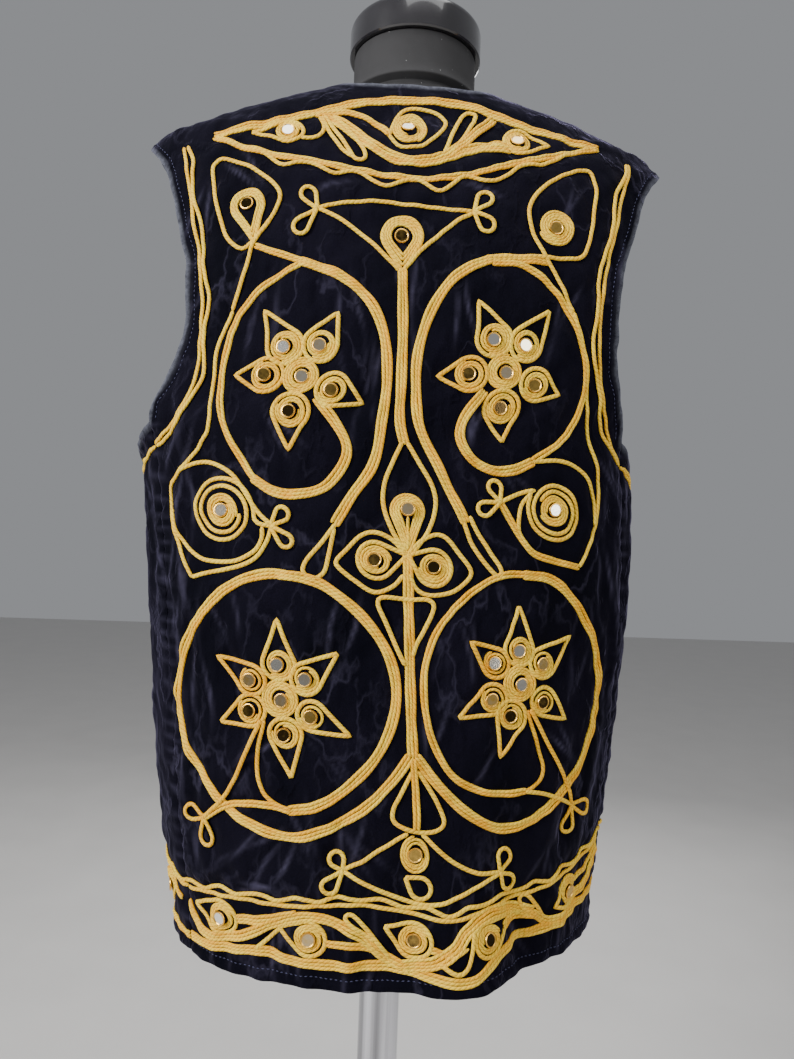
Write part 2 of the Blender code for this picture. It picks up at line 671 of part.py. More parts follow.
def add_front_embroidery(cord):
    """The same hem, armhole and edge bands carried onto both fronts, and a flower on each."""
    for side, word in ((-1, "left"), (1, "right")):
        for place, height in (("upper", HEM_UPPER), ("lower", HEM_LOWER)):
            end = float(front_edge(height)) - FRONT_HEM_BAND_IN
            line = [(arc, height) for arc in np.linspace(FRONT_HEM_START, end, 7)]
            band(f"hem_band_front_{word}_{place}", mirrored(line, side), BAND_MIDDLE, cord,
                 step=0.016, lift=HEM_LIFT)
        edge = [(float(front_edge(h)) - FRONT_BAND_IN, h) for h in FRONT_BAND_HEIGHTS]
        band(f"edge_band_{word}", mirrored(edge, side), BAND_MIDDLE, cord, step=0.022)
        heights = np.array(FRONT_ARMHOLE_HEIGHTS)
        arcs = armhole_arc(FRONT_ARMHOLE, heights, True) + FRONT_ARMHOLE_BAND_OFFSET
        line = FRONT_UNDERARM_BAND + list(zip(arcs, heights))
        band(f"armhole_band_front_{word}", mirrored(line, side), BAND_NARROW, cord)
        centre = float(front_edge(FRONT_STAR_HEIGHT)) - FRONT_STAR_IN
        star(f"star_front_{word}", (side * centre, FRONT_STAR_HEIGHT), 6, 90.0, cord)


def form_ring(half_width, back, front, squareness, height, shift=0.0):
    """A level loop of the dress form."""
    power = 2.0 / squareness
    points = []
    for angle in np.linspace(0, 2 * math.pi, FORM_SIDES, endpoint=False):
        sine, cosine = math.sin(angle), math.cos(angle)
        depth = -back if cosine > 0 else front
        points.append((shift + half_width * math.copysign(abs(sine) ** power, sine),
                       depth * abs(cosine) ** power, height))
    return points


def add_form(shell):
    """Torso and neck in one piece; its shoulders lie just under the vest's."""
    rings = [form_ring(row.half_width, row.back, row.front, FORM_SQUARENESS, row.height)
             for row in FORM]
    for height, inside in FORM_SHOULDER:
        half_width, back, front, squareness, shift, _ = vest_section(height)
        below, above = vest_section(height - 0.001), vest_section(height + 0.001)
        inset = [inside * math.hypot(1, float(above[c] - below[c]) / 0.002) for c in range(3)]
        rings.append(form_ring(float(half_width) - inset[0], float(back) - inset[1],
                               float(front) - inset[2], float(squareness), height, float(shift)))
    for height, radius in NECK_ROWS:
        rings.append(form_ring(radius, radius, radius, 2.0, height))
    loft("form_torso", rings, shell)


def add_cap(finish):
    """Turned neck cap with a slightly crowned top."""
    top = CAP_BOTTOM + CAP_HEIGHT
    turned("form_cap", [
        (0.0, CAP_BOTTOM), (CAP_RADIUS - 0.0015, CAP_BOTTOM), (CAP_RADIUS, CAP_BOTTOM + 0.0015),
        (CAP_RADIUS, top - 0.006), (CAP_RADIUS - 0.0018, top - 0.0018),
        (CAP_RADIUS - 0.006, top), (0.030, top + 0.002), (0.0, top + 0.003)], finish)


def add_pole(finish):
    """Tube from the base up to the torso's flat underside, with closed ends."""
    bottom = BASE_EDGE + SEAM_GAP
    top = FORM_BOTTOM - SEAM_GAP
    turned("pole", [(0.0, bottom), (POLE_RADIUS, bottom), (POLE_RADIUS, top), (0.0, top)], finish)


def add_base(finish):
    """Round plate with a socket collar that the pole stands in."""
    bore = POLE_RADIUS + SEAM_GAP
    turned("base", [
        (0.0, 0.0), (BASE_RADIUS - 0.001, 0.0), (BASE_RADIUS, 0.001),
        (BASE_RADIUS, BASE_EDGE - 0.002), (BASE_RADIUS - 0.002, BASE_EDGE),
        (0.10, BASE_EDGE + 0.002), (0.045, BASE_CROWN), (COLLAR_RADIUS + 0.003, BASE_CROWN + 0.002),
        (COLLAR_RADIUS, BASE_CROWN + 0.006), (COLLAR_RADIUS, COLLAR_TOP - 0.0015),
        (COLLAR_RADIUS - 0.0015, COLLAR_TOP), (bore, COLLAR_TOP), (bore, BASE_EDGE),
        (0.0, BASE_EDGE)], finish)


def main():
    """Clear the scene and build every piece."""
    for old in list(bpy.data.objects):
        bpy.data.objects.remove(old)
    velvet = material("velvet", (0.012, 0.012, 0.030), 0.85)
    cord = material("gold_cord", (0.72, 0.46, 0.13), 0.60)
    shell = material("form_shell", (0.025, 0.024, 0.026), 0.80)
    cap = material("cap_plastic", (0.030, 0.029, 0.032), 0.28)
    steel = material("pole_steel", (0.72, 0.72, 0.74), 0.15, 1.0)
    enamel = material("base_enamel", (0.030, 0.030, 0.032), 0.35)
    add_vest(velvet)
    add_back_embroidery(cord)
    add_front_embroidery(cord)
    add_form(shell)
    add_cap(cap)
    add_pole(steel)
    add_base(enamel)


main()
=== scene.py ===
"""A navy velvet vest with couched gold cord and small round mirrors, on a limbless dress form.

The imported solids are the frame. Each soft solid is replaced by a finer piece of the same form:
three panels of creased velvet, cords laid on them strand by strand, and mirrors in gold rims.
A place on the cloth is a pair (arc, height): how far it is round the body from the centre back,
positive towards +X, and how high above the floor. The form and the cloth are in metres. The
motifs, from line() to front_motifs(), are in millimetres, and Cord is where they turn to metres.
"""
import logging
import math
from dataclasses import dataclass, field
from enum import Enum
from typing import Iterable, NamedTuple, Optional, Sequence

import bmesh
import bpy
import numpy as np
from mathutils import Matrix


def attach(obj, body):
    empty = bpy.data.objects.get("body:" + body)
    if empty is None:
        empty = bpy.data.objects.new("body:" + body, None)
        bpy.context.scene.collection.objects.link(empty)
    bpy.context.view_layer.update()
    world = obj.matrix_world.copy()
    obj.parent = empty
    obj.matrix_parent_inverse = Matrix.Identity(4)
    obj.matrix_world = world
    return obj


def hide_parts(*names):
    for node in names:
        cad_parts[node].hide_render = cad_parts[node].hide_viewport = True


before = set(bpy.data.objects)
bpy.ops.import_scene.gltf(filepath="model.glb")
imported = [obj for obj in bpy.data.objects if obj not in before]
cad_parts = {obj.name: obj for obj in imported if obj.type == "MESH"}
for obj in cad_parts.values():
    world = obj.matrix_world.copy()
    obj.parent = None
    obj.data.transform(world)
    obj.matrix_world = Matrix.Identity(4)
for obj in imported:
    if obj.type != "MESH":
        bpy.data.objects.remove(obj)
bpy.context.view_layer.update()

LOG = logging.getLogger("vest")

Place = tuple[float, float]
Points = np.ndarray
Object = bpy.types.Object
Material = bpy.types.Material
Socket = bpy.types.NodeSocket
BLACK, WHITE = (0.0, 0.0, 0.0), (1.0, 1.0, 1.0)

MM = 0.001
HEM, UNDERARM, TIP = 0.620, 1.064, 1.328
NECK_POINT, BACK_NECK, NECKLINE_START = 1.381, 1.368, 1.160
NECK_HALF_WIDTH = 0.079
SEAM_GAP = 0.0003
SEAM_ARC_HEM, SEAM_ARC_UNDERARM = 0.210, 0.219
FRONT_GAP = 0.080
SHOULDER_SHARE, NECK_SHARE = 0.13, 0.40
SAG_DEPTH, SAG_WIDTH, SAG_HEIGHT, SAG_SPREAD = 0.026, 0.150, 1.070, 0.034
CORD_STEP = 0.0019
COIL_EYE, COIL_PITCH = 6.6, 2.1


class Side(Enum):
    """Which half of the vest a piece is on, by the sign of its arcs."""

    LEFT = -1
    RIGHT = 1

    @property
    def word(self) -> str:
        """The side's name in a piece's name."""
        return self.name.lower()


class Level(NamedTuple):
    """A level cut through the vest's outer side: a squarish ellipse, deeper behind or in front."""

    height: float
    half_width: float
    back: float
    front: float
    squareness: float
    shift: float
    turn_deg: float


class Fold(NamedTuple):
    """A soft ridge that stands out most at the hem and dies away upwards."""

    arc: float
    half_width: float
    stands_out: float
    top: float


class EdgePoint(NamedTuple):
    """A point of an armhole's edge: how far out it lies at a height."""

    height: float
    out: float


class Crease(NamedTuple):
    """A soft ridge, or a trough where depth is negative, pressed into the velvet."""

    arc: float
    height: float
    length: float
    lean_deg: float
    half_width: float
    depth: float

    def reach(self, arc: Points, height: Points, sway: float, wave: float, turn_deg: float = 0.0,
              phase: float = 0.0) -> tuple[Points, Points, Points]:
        """How far places are along and across the crease, and how much of it is left there."""
        lean = math.radians(self.lean_deg + turn_deg)
        da, dh = arc - self.arc, height - self.height
        along = da * math.sin(lean) + dh * math.cos(lean)
        across = da * math.cos(lean) - dh * math.sin(lean)
        across = across + sway * np.sin(along / wave + self.arc * 90 + phase)
        left = np.cos(np.clip(along / self.length, -0.5, 0.5) * math.pi) ** 2
        return along, across, left


LEVELS = [
    Level(0.600, 0.194, 0.138, 0.118, 2.00, 0.005, 10.0),
    Level(0.620, 0.195, 0.138, 0.118, 2.00, 0.005, 10.0),
    Level(0.750, 0.210, 0.136, 0.116, 2.10, 0.001, 7.5),
    Level(0.820, 0.215, 0.134, 0.114, 2.20, 0.000, 5.5),
    Level(0.920, 0.222, 0.131, 0.112, 2.30, -0.003, 3.5),
    Level(0.980, 0.2245, 0.129, 0.110, 2.30, -0.0055, 2.3),
    Level(1.030, 0.2265, 0.126, 0.109, 2.30, -0.009, 1.3),
    Level(1.064, 0.230, 0.125, 0.108, 2.30, -0.014, 0.7),
    Level(1.100, 0.232, 0.124, 0.107, 2.30, -0.009, 0.0),
    Level(1.150, 0.235, 0.122, 0.106, 2.30, -0.004, -1.0),
    Level(1.250, 0.243, 0.110, 0.100, 2.30, -0.003, -2.0),
    Level(1.300, 0.245, 0.096, 0.088, 2.30, -0.003, -1.5),
    Level(1.318, 0.238, 0.088, 0.081, 2.30, -0.004, -1.0),
    Level(1.328, 0.230, 0.083, 0.077, 2.30, -0.004, -0.8),
    Level(1.333, 0.217, 0.081, 0.075, 2.25, -0.004, -0.6),
    Level(1.346, 0.188, 0.0775, 0.072, 2.20, -0.002, -0.5),
    Level(1.356, 0.163, 0.073, 0.069, 2.15, 0.000, -0.3),
    Level(1.366, 0.132, 0.067, 0.065, 2.10, 0.000, 0.0),
    Level(1.373, 0.108, 0.064, 0.062, 2.00, 0.000, 0.0),
    Level(1.381, 0.079, 0.061, 0.060, 2.00, 0.000, 0.0),
    Level(1.387, 0.060, 0.059, 0.058, 2.00, 0.000, 0.0),
]
FOLDS = [
    Fold(0.030, 0.062, 0.021, 0.790),
    Fold(-0.330, 0.060, 0.012, 0.800),
    Fold(0.350, 0.060, 0.013, 0.780),
]
BACK_ARMHOLE = [
    EdgePoint(1.082, 0.2030), EdgePoint(1.096, 0.1965), EdgePoint(1.109, 0.1915),
    EdgePoint(1.127, 0.1855), EdgePoint(1.144, 0.183), EdgePoint(1.190, 0.184),
    EdgePoint(1.238, 0.196), EdgePoint(1.290, 0.214), EdgePoint(1.328, 0.230),
]
FRONT_ARMHOLE = [
    EdgePoint(1.070, 0.226), EdgePoint(1.082, 0.211), EdgePoint(1.100, 0.195),
    EdgePoint(1.130, 0.177), EdgePoint(1.170, 0.168), EdgePoint(1.220, 0.172),
    EdgePoint(1.270, 0.192), EdgePoint(1.300, 0.210), EdgePoint(1.328, 0.230),
]


def smooth(xs: Sequence[float], ys: Sequence[float], x: Points) -> Points:
    """Smooth curve through a column of a table that never overshoots it.

    Args:
        xs: the table's places, rising.
        ys: the values there.
        x: where the curve is wanted.

    Returns:
        The curve's values.
    """
    xs, ys = np.asarray(xs, float), np.asarray(ys, float)
    step = np.diff(xs)
    rise = np.diff(ys) / step
    slope = np.zeros(len(xs))
    slope[0], slope[-1] = rise[0], rise[-1]
    for k in range(1, len(xs) - 1):
        if rise[k - 1] * rise[k] > 0:
            before, after = 2 * step[k] + step[k - 1], step[k] + 2 * step[k - 1]
            slope[k] = (before + after) / (before / rise[k - 1] + after / rise[k])
    x = np.clip(x, xs[0], xs[-1])
    k = np.clip(np.searchsorted(xs, x) - 1, 0, len(step) - 1)
    t = (x - xs[k]) / step[k]
    start = (2 * t**3 - 3 * t**2 + 1) * ys[k] + (t**3 - 2 * t**2 + t) * step[k] * slope[k]
    end = (3 * t**2 - 2 * t**3) * ys[k + 1] + (t**3 - t**2) * step[k] * slope[k + 1]
    return start + end


def run_along(points: Points) -> Points:
    """How far along a line each of its points is."""
    steps = np.linalg.norm(np.diff(points, axis=0), axis=1)
    return np.concatenate([[0.0], np.cumsum(steps)])


def unit(vectors: Points) -> Points:
    """The same vectors at a length of one."""
    return vectors / (np.linalg.norm(vectors, axis=-1, keepdims=True) + 1e-12)


def ahead_of(points: Points, closed: bool) -> Points:
    """Which way a line runs at each of its points."""
    if closed:
        return np.roll(points, -1, axis=0) - np.roll(points, 1, axis=0)
    return np.gradient(points, axis=0)


def even_steps(arcs: Points, heights: Points, values: Points, shares: Points) -> Points:
    """Values at even shares of the length of a line of (arc, height) points."""
    length = run_along(np.column_stack([arcs, heights]))
    return np.interp(np.asarray(shares) * length[-1], length, values)


def between(values: Points, grid: Points) -> tuple[Points, Points]:
    """Row of an even grid below each value, and the share of the way to the next row."""
    place = np.clip((values - grid[0]) / (grid[1] - grid[0]), 0, len(grid) - 1.001)
    row = place.astype(int)
    return row, place - row


def read_grid(values: Points, arc: Points, arcs: Points, height: Points,
              heights: Points) -> Points:
    """Values of a grid of heights and arcs, read between its cells."""
    k, a = between(height, heights)
    j, b = between(arc, arcs)
    low = (1 - b) * values[k, j] + b * values[k, j + 1]
    high = (1 - b) * values[k + 1, j] + b * values[k + 1, j + 1]
    return (1 - a) * low + a * high


def squarish(angle: Points, half_width: Points, back: Points, front: Points,
             squareness: Points) -> tuple[Points, Points]:
    """Plan place at an angle round a squarish ellipse, from the middle of the back."""
    power = 2.0 / squareness
    sine, cosine = np.sin(angle), np.cos(angle)
    x = half_width * np.sign(sine) * np.abs(sine) ** power
    return x, np.where(cosine > 0, -back, front) * np.abs(cosine) ** power


class VestForm:
    """The vest's outer side as the solids have it, worked out from its level cuts and folds."""

    def __init__(self, levels: Sequence[Level], folds: Sequence[Fold]) -> None:
        """Prepares the table that turns an arc into an angle round the section."""
        self.folds = folds
        self.heights = [level.height for level in levels]
        self.columns = [[level[c] for level in levels] for c in range(1, 7)]
        self.grid_heights = np.arange(0.600, 1.3865, 0.004)
        self.grid_arcs = np.linspace(-0.62, 0.62, 621)
        self.angles = np.zeros((len(self.grid_heights), len(self.grid_arcs)))
        self.girths = np.zeros(len(self.grid_heights))
        fine = np.linspace(-math.pi, math.pi, 1441)
        for k, height in enumerate(self.grid_heights):
            x, y = self.ring(fine, np.full_like(fine, height))
            arcs = np.concatenate([[0.0], np.cumsum(np.hypot(np.diff(x), np.diff(y)))])
            arcs -= arcs[-1] / 2
            self.angles[k] = np.interp(self.grid_arcs, arcs, fine)
            self.girths[k] = arcs[-1]

    def cut(self, height: Points) -> list[Points]:
        """The section's values at any heights, in the order of Level."""
        return [smooth(self.heights, column, height) for column in self.columns]

    def ring(self, angle: Points, height: Points) -> tuple[Points, Points]:
        """Plan place at an angle round the section, before its shift and turn."""
        return squarish(angle, *self.cut(height)[:4])

    def angle(self, arc: Points, height: Points) -> Points:
        """Angle round the section at an arc and a height."""
        return read_grid(self.angles, arc, self.grid_arcs, height, self.grid_heights)

    def half_girth(self, height: Points) -> Points:
        """Arc from the centre back to the centre front."""
        return np.interp(height, self.grid_heights, self.girths)

    def fold_out(self, arc: Points, height: Points) -> Points:
        """How far the folds push the cloth out."""
        out = np.zeros_like(arc)
        for fold in self.folds:
            across = np.clip((arc - fold.arc) / fold.half_width, -1, 1)
            along = np.clip((fold.top - height) / (fold.top - HEM), 0, 1.15)
            out = out + fold.stands_out * np.cos(across * math.pi / 2) ** 2 * along**2
        return out

    def side(self, arc: Points, height: Points) -> Points:
        """Points of the outer side, folds and turn included."""
        x, y = self.ring(self.angle(arc, height), height)
        reach = 0.003
        x_before, y_before = self.ring(self.angle(arc - reach, height), height)
        x_after, y_after = self.ring(self.angle(arc + reach, height), height)
        away_x, away_y = y_after - y_before, x_before - x_after
        length = np.hypot(away_x, away_y)
        out = self.fold_out(arc, height)
        x = x + out * away_x / length
        y = y + out * away_y / length
        _, _, _, _, shift, turn_deg = self.cut(height)
        c, s = np.cos(np.radians(turn_deg)), np.sin(np.radians(turn_deg))
        return np.stack([shift + x * c - y * s, x * s + y * c, height], axis=-1)

    def surface(self, arc: Points, height: Points) -> tuple[Points, Points]:
        """Points of the outer side and its outward normals there."""
        arc, height = np.broadcast_arrays(np.asarray(arc, float), np.asarray(height, float))
        reach = 0.0006
        along = self.side(arc + reach, height) - self.side(arc - reach, height)
        up = self.side(arc, height + reach) - self.side(arc, height - reach)
        return self.side(arc, height), unit(np.cross(along, up))

    def arc_of(self, out: Points, height: Points, in_front: bool = False) -> Points:
        """Arc on the +X side where the section is this far out."""
        half_width, _, _, squareness, _, _ = self.cut(height)
        angle = np.arcsin(np.clip(out / half_width, 0, 1) ** (squareness / 2))
        angle = math.pi - angle if in_front else angle
        low, high = np.zeros_like(angle), np.full_like(angle, 0.61)
        for _ in range(36):
            middle = (low + high) / 2
            short = self.angle(middle, height) < angle
            low, high = np.where(short, middle, low), np.where(short, high, middle)
        return low

    def shoulder(self, height: Points) -> Points:
        """Arc of the shoulder seam, which runs along the top of the shoulder."""
        height = np.asarray(height, float)
        return self.arc_of(np.full_like(height, 1.0), height)

    def armhole(self, rows: Sequence[EdgePoint], height: Points, in_front: bool) -> Points:
        """Arc of an armhole's edge, from the underarm to the shoulder's tip."""
        heights = np.array([row.height for row in rows])
        arcs = self.arc_of(np.array([row.out for row in rows]), heights, in_front)
        arcs[-1] = self.shoulder(TIP)
        heights = np.concatenate([[UNDERARM], heights])
        arcs = np.concatenate([[SEAM_ARC_UNDERARM], arcs])
        return smooth(heights, arcs, height)

    def front_edge(self, height: Points) -> Points:
        """Arc of the front edge, straight from the hem and slanting to the neck."""
        half_gap = FRONT_GAP / 2
        straight = self.half_girth(height) - half_gap
        slant = np.clip((height - NECKLINE_START) / (NECK_POINT - NECKLINE_START), 0, 1)
        at_neck = self.shoulder(NECK_POINT) + SEAM_GAP / 2
        x = half_gap + (NECK_HALF_WIDTH - half_gap) * slant**1.25
        slanted = np.maximum(self.arc_of(x, height, True), at_neck)
        return np.where(height < NECKLINE_START, straight, slanted)


FORM = VestForm(LEVELS, FOLDS)


def side_seam(height: Points) -> Points:
    """Arc of the side seam."""
    return np.interp(height, (HEM, UNDERARM), (SEAM_ARC_HEM, SEAM_ARC_UNDERARM))


def sag(arc: Points, height: Points) -> Points:
    """How much lower a front hangs at the bottom of its armhole."""
    share = np.clip((np.abs(arc) - SEAM_ARC_UNDERARM) / SAG_WIDTH, 0, 1)
    near = np.exp(-(((height - SAG_HEIGHT) / SAG_SPREAD) ** 2))
    return SAG_DEPTH * np.sin(math.pi * share) * near


def back_neckline(shares: Points) -> tuple[Points, Points]:
    """Arc and height at shares of the way along half the back neckline."""
    x = NECK_HALF_WIDTH * np.sin(np.linspace(0, math.pi / 2, 90))
    heights = BACK_NECK + (NECK_POINT - BACK_NECK) * (x / NECK_HALF_WIDTH) ** 4
    arcs = np.minimum(FORM.arc_of(x, heights), FORM.shoulder(heights))
    arcs[-1] = FORM.shoulder(NECK_POINT)
    return even_steps(arcs, heights, arcs, shares), even_steps(arcs, heights, heights, shares)


def spread(points: Sequence[Place], closed: bool = False, step: float = CORD_STEP) -> Points:
    """Even points along a smooth curve through a few (arc, height) places.

    Args:
        points: the places that the curve goes through.
        closed: whether the curve comes back to its start.
        step: the distance between the points that come back.

    Returns:
        An array of (arc, height) rows.
    """
    points = np.array(points, float)
    if closed:
        padded = np.vstack([points[-1], points, points[0], points[1]])
    else:
        padded = np.vstack([2 * points[0] - points[1], points, 2 * points[-1] - points[-2]])
    t = np.linspace(0, 1, 16, endpoint=False)[:, None]
    pieces = []
    for a, b, c, d in zip(padded, padded[1:], padded[2:], padded[3:]):
        pieces.append(0.5 * (2 * b + (c - a) * t + (2 * a - 5 * b + 4 * c - d) * t**2
                             + (3 * b - 3 * c + d - a) * t**3))
    curve = np.vstack(pieces + [points[:1] if closed else points[-1:]])
    return evened(curve, closed, step)


def evened(curve: Points, closed: bool, step: float) -> Points:
    """The same line of (arc, height) rows with its points at even steps."""
    length = run_along(curve)
    count = max(4, round(length[-1] / step))
    where = np.linspace(0, length[-1], count + 1)
    if closed:
        where = where[:-1]
    return np.column_stack([np.interp(where, length, curve[:, k]) for k in (0, 1)])


@dataclass(frozen=True)
class Cord:
    """One laid cord, of one strand or of several side by side.

    Attributes:
        path: even (arc, height) rows.
        strands: how many strands lie side by side.
        closed: whether it comes back to its start.
        over: how far it is lifted where it lies on other cords.
        half_width: half a strand's width.
        half_height: half a strand's height.
        pitch: distance between the middles of neighbouring strands.
    """

    path: Points
    strands: int = 1
    closed: bool = False
    over: float = 0.0
    half_width: float = 0.00175
    half_height: float = 0.00125
    pitch: float = 0.0027


class Weight(Enum):
    """How heavy a line of embroidery is: strands, half width and height of one, and pitch."""

    LINE = (1, 0.00180, 0.00125, 0.0)
    PAIR = (2, 0.00150, 0.00120, 0.0028)
    BAND = (3, 0.00145, 0.00120, 0.0027)
    BROAD = (4, 0.00140, 0.00120, 0.0026)
    COIL = (1, 0.00122, 0.00115, 0.0)


def line(points: Sequence[Place], weight: Weight = Weight.LINE, closed: bool = False,
         over: float = 0.0) -> Cord:
    """A cord laid along a smooth curve."""
    strands, half_width, half_height, pitch = weight.value
    return Cord(spread(np.array(points) * MM, closed), strands, closed, over * MM, half_width,
                half_height, pitch)


def ready(path: Points, weight: Weight, closed: bool, over: float = 0.0) -> Cord:
    """A cord along a path that is already worked out point by point."""
    strands, half_width, half_height, pitch = weight.value
    return Cord(evened(path * MM, closed, CORD_STEP), strands, closed, over * MM, half_width,
                half_height, pitch)


def drop(centre: Place, radius: float, tip: Place, weight: Weight = Weight.LINE,
         open_deg: float = 0.0, over: float = 0.0, squash: float = 1.0) -> Cord:
    """A drop: a round end about a centre, drawn out to a pointed tip.

    Args:
        centre: middle of the round end.
        radius: radius of the round end.
        tip: the point it is drawn out to.
        weight: the cord's weight.
        open_deg: how much of the round end, opposite the tip, is left open.
        over: extra lift.
        squash: the round end's size across the drop, against its size along it.

    Returns:
        The cord.
    """
    reach = math.dist(centre, tip)
    ahead = math.atan2(tip[1] - centre[1], tip[0] - centre[0])
    tangent = math.acos(min(0.999, radius / max(reach, radius * 1.001)))
    half = math.pi - math.radians(open_deg) / 2
    swing = np.linspace(-half, half, 121)
    grown = np.where(np.abs(swing) < tangent, radius / np.cos(tangent - np.abs(swing)), radius)
    along, across = grown * np.cos(swing), grown * np.sin(swing) * squash
    path = np.column_stack([
        centre[0] + along * math.cos(ahead) - across * math.sin(ahead),
        centre[1] + along * math.sin(ahead) + across * math.cos(ahead)])
    return ready(path, weight, open_deg == 0.0, over)


def coil(centre: Place, outer: float, inner: float, turns: float, start_deg: float = 0.0,
         tall: float = 1.0, weight: Weight = Weight.COIL, over: float = 0.0) -> Cord:
    """A flat spiral of cord from its outside to its open middle."""
    t = np.linspace(0, 1, int(90 * turns))
    angle = math.radians(start_deg) + 2 * math.pi * turns * t
    radius = outer + (inner - outer) * t
    path = np.column_stack([centre[0] + radius * np.cos(angle),
                            centre[1] + radius * np.sin(angle) * tall])
    return ready(path, weight, False, over)


def nest(centre: Place, radius: float, tips: Sequence[Place]) -> list[Cord]:
    """Drops of coil cord, one inside the other, each with its own tip."""
    return [drop(centre, radius - COIL_PITCH * k, tip, Weight.COIL) for k, tip in enumerate(tips)]


def knot(cross: Place, first: Place, second: Place, radius: float = 5.2) -> list[Cord]:
    """Two little loops that leave one crossing."""
    return [drop(first, radius, cross, over=0.6), drop(second, radius, cross, over=1.2)]


def eye(centre: Place, tip: Place, radius: float = 12.5, tall: float = 1.0) -> list[Cord]:
    """A coil of cord with a pointed loop drawn round it."""
    return [coil(centre, radius - 1.4, 6.2, (radius - 7.6) / 2.0, 20, tall),
            drop(centre, radius + 1.0, tip, squash=tall)]


@dataclass(frozen=True)
class Motif:
    """Some cords and mirrors that make one piece of the embroidery.

    Attributes:
        name: the piece's name.
        cords: its cords.
        mirrors: places of its mirrors.
        replaces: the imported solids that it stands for.
    """

    name: str
    cords: tuple[Cord, ...]
    mirrors: tuple[Place, ...] = ()
    replaces: tuple[str, ...] = ()


@dataclass(frozen=True)
class Petal:
    """One petal of a flower: the way its tip points, and the tip's distance from the middle."""

    tip_deg: float
    tip: float


def flower(name: str, centre: Place, petals: Sequence[Petal], replaces: tuple[str, ...],
           petal_at: float = 29.0, radius: float = 13.9,
           stems: Iterable[Cord] = ()) -> Motif:
    """A flower of coiled petals with pointed loops, round a coiled middle.

    Args:
        name: the piece's name.
        centre: the flower's middle.
        petals: the petals, in any order.
        replaces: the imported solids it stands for.
        petal_at: distance of the petals' middles from the flower's middle.
        radius: a petal's radius.
        stems: more cords that belong to it.

    Returns:
        The motif.
    """
    def away(start: Place, way: float, reach: float) -> Place:
        """A place this far from another one."""
        return start[0] + reach * math.cos(way), start[1] + reach * math.sin(way)

    middle = petal_at - radius - 0.4
    cords = [coil(centre, middle, COIL_EYE, (middle - COIL_EYE) / COIL_PITCH, 80)]
    mirrors = [(centre[0] + 0.8, centre[1] - 0.7)]
    for k, petal in enumerate(petals):
        way = math.radians(petal.tip_deg)
        grown = radius * (1.0 + 0.05 * math.sin(2.1 * k + 1.0))
        at = away(centre, way, petal_at)
        cords.append(coil(at, grown - 2.4, COIL_EYE, (grown - 2.4 - COIL_EYE) / COIL_PITCH,
                          petal.tip_deg + 140 + 37 * k, 1.0 + 0.04 * math.cos(1.9 * k)))
        cords.append(drop(at, grown, away(centre, way, petal.tip), over=0.2 * (k % 2)))
        mirrors.append(away(at, way + 2.0 + k, 1.4))
    return Motif(name, tuple(cords) + tuple(stems), tuple(mirrors), replaces)


def shifted(points: Sequence[Place], arc: float = 0.0, height: float = 0.0) -> list[Place]:
    """The same places moved along."""
    return [(a + arc, h + height) for a, h in points]


def both(points: Sequence[Place], side: Side) -> list[Place]:
    """The same places on the right or the left half."""
    return [(side.value * a, h) for a, h in points]


def wavy(points: Sequence[Place], swing: float, wave: float, phase: float = 0.0) -> list[Place]:
    """A line that winds from side to side along a smooth curve."""
    path = spread(points, step=wave / 4)
    ahead = np.gradient(path, axis=0)
    across = unit(np.column_stack([-ahead[:, 1], ahead[:, 0]]))
    turn = np.arange(len(path)) * math.pi / 2 + phase
    sway = swing * np.sin(turn) * (0.75 + 0.25 * np.sin(turn * 0.31 + 1.0))
    return [tuple(place) for place in path + across * sway[:, None]]


